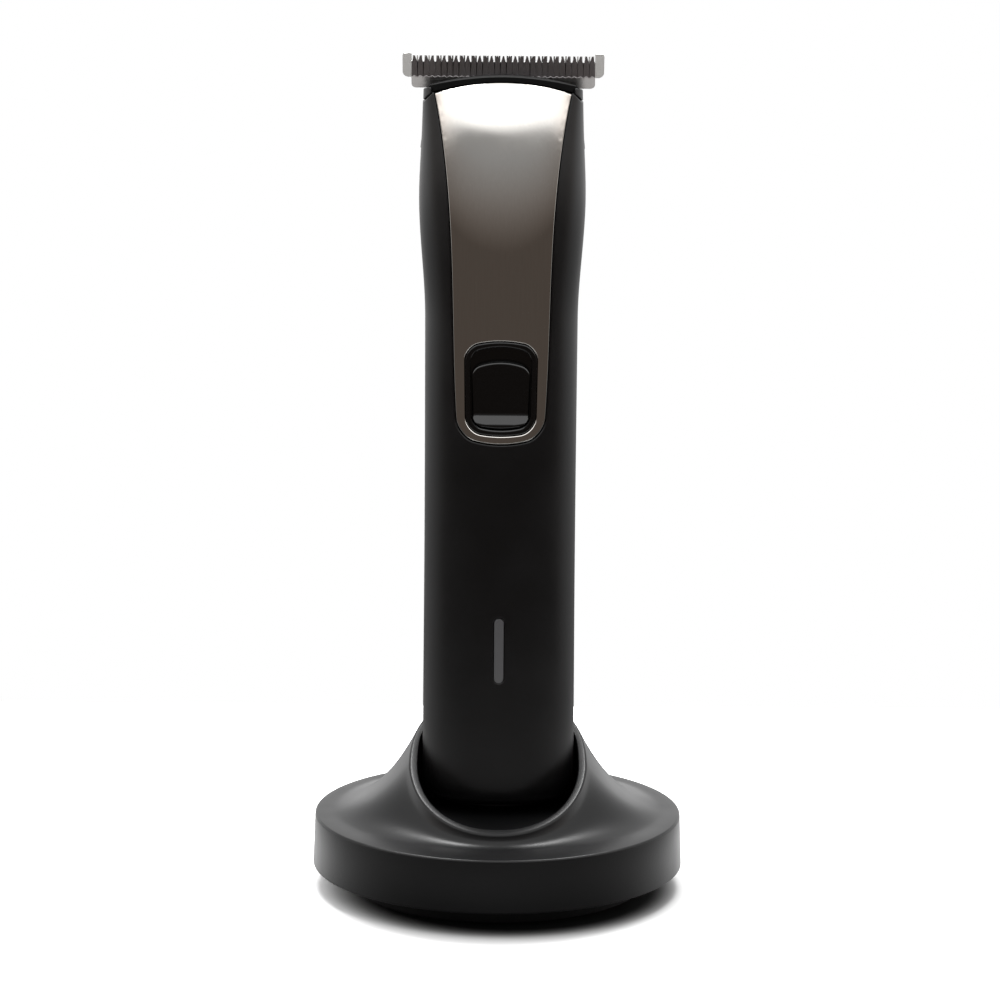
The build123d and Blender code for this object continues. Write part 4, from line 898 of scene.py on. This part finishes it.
slope = (LIP_BACK_RISE - LIP_FRONT_RISE) / (LIP[1] + LIP[2])
mouth = LIP - LIP_BAND
inner_lip = oval(mouth, 2.6, 2.15, RIM_Z + LIP_FRONT_RISE + slope * LIP_BAND,
                 RIM_Z + LIP_BACK_RISE - slope * LIP_BAND)
socket = oval(mouth - (0.1, 1.4, 0.1), 2.6, 2.15, SOCKET_Z, SOCKET_Z)
well = oval(WELL, 2.0, 2.0, SOCKET_Z, SOCKET_Z)
foot_in, foot_out, rim = disc(WALL_INNER, WALL_Z), disc(WALL_RADIUS, WALL_Z), disc(RIM_RADIUS, RIM_Z)
flares = [flare(u) for u in np.linspace(1, 0, 34)]
rings = soften(foot_in, foot_out, rim, 0.3) + soften(foot_out, rim, flares[0], 0.55, 7)
rings += flares[:-1] + soften(flares[-2], flares[-1], inner_lip, 0.45)
rings += soften(flares[-1], inner_lip, socket, 0.3) + soften(inner_lip, socket, well, 1.0, 7)
rings += [well, well - (0, 0, WELL_DEPTH), disc(DECK_RADIUS, DECK_Z)]
drill = bpy.data.meshes.new("inlet_drill")
drill_form = bmesh.new()
drill_place = Matrix.Translation((0, INLET_Y * MM, INLET_Z * MM)) @ Matrix.Rotation(math.pi / 2, 4, "X")
bmesh.ops.create_cone(drill_form, cap_ends=True, segments=64, radius1=INLET_RADIUS * MM,
                      radius2=INLET_RADIUS * MM, depth=INLET_REACH * MM, matrix=drill_place)
drill_form.to_mesh(drill)
drill_form.free()
stand = mesh_of("collar_stand", wound(rings))
blank, bit = [bpy.data.objects.new(data.name, data) for data in (stand, drill)]
for made in (blank, bit):
    scene.collection.objects.link(made)
cut = blank.modifiers.new("inlet", "BOOLEAN")
cut.operation, cut.solver, cut.object = "DIFFERENCE", "EXACT", bit
bored = bpy.data.meshes.new_from_object(blank.evaluated_get(bpy.context.evaluated_depsgraph_get()))
for made in (blank, bit):
    bpy.data.objects.remove(made)
finish("collar_stand", "stand", "stand_shell", bored, 40.0)

seat = skin(np.column_stack([SEAT[0] * np.cos(columns), SEAT[1] * np.sin(columns)])[::3],
            round_holes(PIN_X, 0, PIN_HOLE), lambda flat, sink: flat_at(SEAT_Z)(flat, -sink),
            flat_at(SOCKET_Z - SEAT_BACK), 0.3, 1.2)
piece("seat_pad", "stand", "stand_shell", seat)

# Folded leaf under each charging pin, built as one fixed shape: on the real stand its foot stays on the board
# and its top goes down with the pin

LEAF_HALF, LEAF_THICK = 1.3, 0.15
fold = np.array([(-4.9, 9.75), (4.3, 9.75), (4.95, 9.8), (4.95, 10.35), (4.3, 10.45), (-3.9, 11.62),
                 (-4.8, 11.7), (-4.8, 12.25), (-3.9, 12.37), (1.4, 13.98), (2.5, 14.1)])
for _ in range(3):  # each round cuts the corners
    first, last = 0.75 * fold[:-1] + 0.25 * fold[1:], 0.25 * fold[:-1] + 0.75 * fold[1:]
    fold = np.vstack([fold[:1], np.column_stack([first, last]).reshape(-1, 2), fold[-1:]])
fold = spaced(fold, 0.25)
ahead = np.gradient(fold, axis=0)
ahead /= np.linalg.norm(ahead, axis=1)[:, None]
square = LEAF_THICK * np.column_stack([-ahead[:, 1], ahead[:, 0]])


def leaf(x):
    return skin(np.vstack([fold + square, (fold - square)[::-1]]), [],
                lambda flat, sink: np.column_stack([np.full(len(flat), x + LEAF_HALF - sink), flat]),
                lambda flat: np.column_stack([np.full(len(flat), x - LEAF_HALF), flat]), 0.04, 0.6)


leaves = piece("pin_leaves", None, "contact_springs", joined(leaf(-PIN_X), leaf(PIN_X)))
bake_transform(leaves)


# Floor: white paper to the camera, with a painted shadow, a dark spot under the stand that is deepest under
# its front.
# To the object it is grey, darker ahead of the stand than beside it, with painted shade close ahead of the
# stand and a painted falloff to dark far off, as a small sheet in a dark room is.

corners = [(-350, -200, 0), (350, -200, 0), (350, 150, 0), (-350, 150, 0)]
sheet = bpy.data.objects.new("floor", mesh_of("floor", (corners, [(0, 1, 2, 3)])))
scene.collection.objects.link(sheet)
paper, tree, place, shader = begin("paper_with_painted_shade", Roughness=0.9, Specular_IOR_Level=0.1,
                                   Emission_Color=(1, 1, 1, 1))
fibre = add(tree, "ShaderNodeTexNoise", {"Scale": per_mm(30.0), "Detail": 2.0}, {"Vector": place})
path = add(tree, "ShaderNodeLightPath")
seen = add(tree, "ShaderNodeMath", {"operation": "MAXIMUM"},
           {0: path.outputs["Is Camera Ray"], 1: path.outputs["Is Transmission Ray"]})
# painted shadow: the floor fades to #101010 within 28.5 to 38 mm of a point just ahead of the stand's centre
painted_shadow_spot = add(tree, "ShaderNodeVectorMath", {"operation": "DISTANCE", 1: (0.0025, -0.0038, 0.0)}, {0: place})
away = add(tree, "ShaderNodeVectorMath", {"operation": "LENGTH"}, {0: place})
split = add(tree, "ShaderNodeSeparateXYZ", links={"Vector": place})
ramp = {"fibre": fibre.outputs["Fac"], "seen": seen.outputs["Value"]}
for label, source, low, high in (
        ("shade", painted_shadow_spot.outputs["Value"], 0.0285, 0.038), ("fade", away.outputs["Value"], 0.042, 0.095),
        ("near", away.outputs["Value"], 0.06, 0.12), ("far", away.outputs["Value"], 0.1, 0.15),
        ("behind", split.outputs["Y"], -0.05, 0.02)):
    span = {"interpolation_type": "SMOOTHSTEP", "From Min": low, "From Max": high}
    ramp[label] = add(tree, "ShaderNodeMapRange", span, {"Value": source}).outputs["Result"]
tone = {}
# The shade mix paints the shadow spot onto the camera's white. The bounce colours are painted shade and
# falloff for reflections and bounced light: dark close ahead of the stand, and darker far off on every side.
for label, by, one, two in (
        ("white", "fibre", "#f4f4f4", "#f8f8f8"), ("white", "shade", "#101010", "white"),
        ("beside", "near", "#e4e4e4", "#606060"), ("ahead", "fade", "#585858", "#b4b4b4"),
        ("ahead", "far", "ahead", "#2c2c2c"), ("bounce", "behind", "ahead", "beside"),
        ("paper", "seen", "bounce", "white")):
    ends = {6: one, 7: two}
    settings = {socket: colour(end) for socket, end in ends.items() if end not in tone}
    links = {socket: tone[end] for socket, end in ends.items() if end in tone}
    made = add(tree, "ShaderNodeMix", {"data_type": "RGBA", **settings}, {0: ramp[by], **links})
    tone[label] = made.outputs[2]
lift = add(tree, "ShaderNodeMath", {"operation": "MULTIPLY"}, {0: ramp["seen"], 1: ramp["fade"]})
tree.links.new(tone["paper"], shader.inputs["Base Color"])
tree.links.new(lift.outputs["Value"], shader.inputs["Emission Strength"])
sheet.data.materials.append(paper)

# The room: bright overhead from a line that dips towards the sides, a pale wall behind the object,
# and dark and warm low down where the camera stands. The camera itself sees white.

OVERHEAD, OVERHEAD_DIP, OVERHEAD_STEEP = 0.43, 0.282, 8.0
world = bpy.data.worlds.new("studio")
scene.world = world
world.use_nodes = True
tree = world.node_tree
tree.nodes.clear()
place = add(tree, "ShaderNodeTexCoord").outputs["Generated"]
split = add(tree, "ShaderNodeSeparateXYZ", links={"Vector": place})
path = add(tree, "ShaderNodeLightPath")
x, y, z = [split.outputs[axis] for axis in "XYZ"]
wide = add(tree, "ShaderNodeMath", {"operation": "MULTIPLY"}, {0: x, 1: x}).outputs["Value"]
raised = add(tree, "ShaderNodeMath", {"operation": "MULTIPLY_ADD", 1: OVERHEAD_DIP}, {0: wide, 2: z})
above = add(tree, "ShaderNodeMath", {"operation": "SUBTRACT", 1: OVERHEAD}, {0: raised.outputs["Value"]})
steep = add(tree, "ShaderNodeMath", {"operation": "MULTIPLY_ADD", 1: OVERHEAD_STEEP, 2: 1.0}, {0: wide})
above = add(tree, "ShaderNodeMath", {"operation": "MULTIPLY"},
            {0: above.outputs["Value"], 1: steep.outputs["Value"]})
light = {}
for label, source, kind, (low, high), (start, end) in (
        ("over", above.outputs["Value"], "SMOOTHSTEP", (-0.024, 0.016), (0.0, 2.2)),
        ("lit ahead", y, "LINEAR", (-0.6, 0.2), (0.2, 1.0)),
        ("mirrored", y, "LINEAR", (-0.2, 0.4), (1.0, 0.4)),
        ("under", z, "SMOOTHSTEP", (-0.36, -0.48), (0.0, 0.9)),
        ("rear", y, "SMOOTHSTEP", (-0.3, 0.3), (0.0, 1.0)),
        ("horizon", z, "SMOOTHSTEP", (-0.27, 0.12), (0.1, 1.95)),
        ("low", z, "SMOOTHSTEP", (0.15, 0.4), (1.0, 0.25)),
        ("haze", z, "LINEAR", (0.0, 0.4), (0.1, 0.42)),
        ("cool", z, "LINEAR", (0.0, 0.35), (0.0, 1.0))):
    span = {"interpolation_type": kind, "From Min": low, "From Max": high, "To Min": start, "To Max": end}
    light[label] = add(tree, "ShaderNodeMapRange", span, {"Value": source}).outputs["Result"]
shares = {"Factor": path.outputs["Is Glossy Ray"], "A": light["lit ahead"], "B": light["mirrored"]}
light["share"] = add(tree, "ShaderNodeMix", None, shares).outputs["Result"]
for label, operation, one, two in (
        ("over", "MULTIPLY", "over", "share"), ("over", "MAXIMUM", "over", "under"),
        ("wall", "MULTIPLY", "rear", "horizon"), ("wall", "MULTIPLY", "wall", "low"),
        ("level", "MAXIMUM", "wall", "haze"), ("level", "MAXIMUM", "level", "over"),
        ("cool", "MAXIMUM", "cool", "rear"), ("cool", "MAXIMUM", "cool", "under")):
    made = add(tree, "ShaderNodeMath", {"operation": operation}, {0: light[one], 1: light[two]})
    light[label] = made.outputs["Value"]
warmth = add(tree, "ShaderNodeMix", {"data_type": "RGBA", 6: colour("#ffeadb"), 7: colour("#ffffff")},
             {0: light["cool"]})
level = add(tree, "ShaderNodeMix", {"B": 1.0}, {"Factor": path.outputs["Is Camera Ray"], "A": light["level"]})
warmth = add(tree, "ShaderNodeMix", {"data_type": "RGBA", 7: colour("#ffffff")},
             {0: path.outputs["Is Camera Ray"], 6: warmth.outputs[2]})
back = add(tree, "ShaderNodeBackground", None,
           {"Color": warmth.outputs[2], "Strength": level.outputs["Result"]})
add(tree, "ShaderNodeOutputWorld", links={"Surface": back.outputs["Background"]})

# Two softboxes above and behind the object, the left one a little brighter

SOFTBOX_AT, SOFTBOX_AIM = Vector((0.135, 0.2, 0.52)), Vector((0, 0, 0.02))
SOFTBOX_WIDTH, SOFTBOX_HEIGHT = 0.11, 0.18
for name, side, radiance in (("left_softbox", -1, 30.0), ("right_softbox", 1, 27.0)):
    lamp = bpy.data.lights.new(name, "AREA")
    lamp.shape = "RECTANGLE"
    lamp.size, lamp.size_y = SOFTBOX_WIDTH, SOFTBOX_HEIGHT
    lamp.energy = radiance * math.pi * SOFTBOX_WIDTH * SOFTBOX_HEIGHT
    holder = bpy.data.objects.new(name, lamp)
    scene.collection.objects.link(holder)
    holder.location = SOFTBOX_AT * Vector((side, 1, 1))
    holder.rotation_euler = (SOFTBOX_AIM - holder.location).to_track_quat("-Z", "Y").to_euler()

CAMERA_AT, CAMERA_DOWN, CAMERA_ROLL = (0, -0.700, 0.2103), 10.56, 0.45
camera = bpy.data.objects.new("camera", bpy.data.cameras.new("camera"))
scene.collection.objects.link(camera)
camera.data.sensor_width = 36.0
camera.data.lens = 127.15
tilt = Matrix.Rotation(math.radians(90 - CAMERA_DOWN), 4, "X")
roll = Matrix.Rotation(math.radians(CAMERA_ROLL), 4, "Z")
camera.matrix_world = Matrix.Translation(CAMERA_AT) @ (tilt @ roll)
scene.camera = camera
scene.view_settings.view_transform = "Standard"
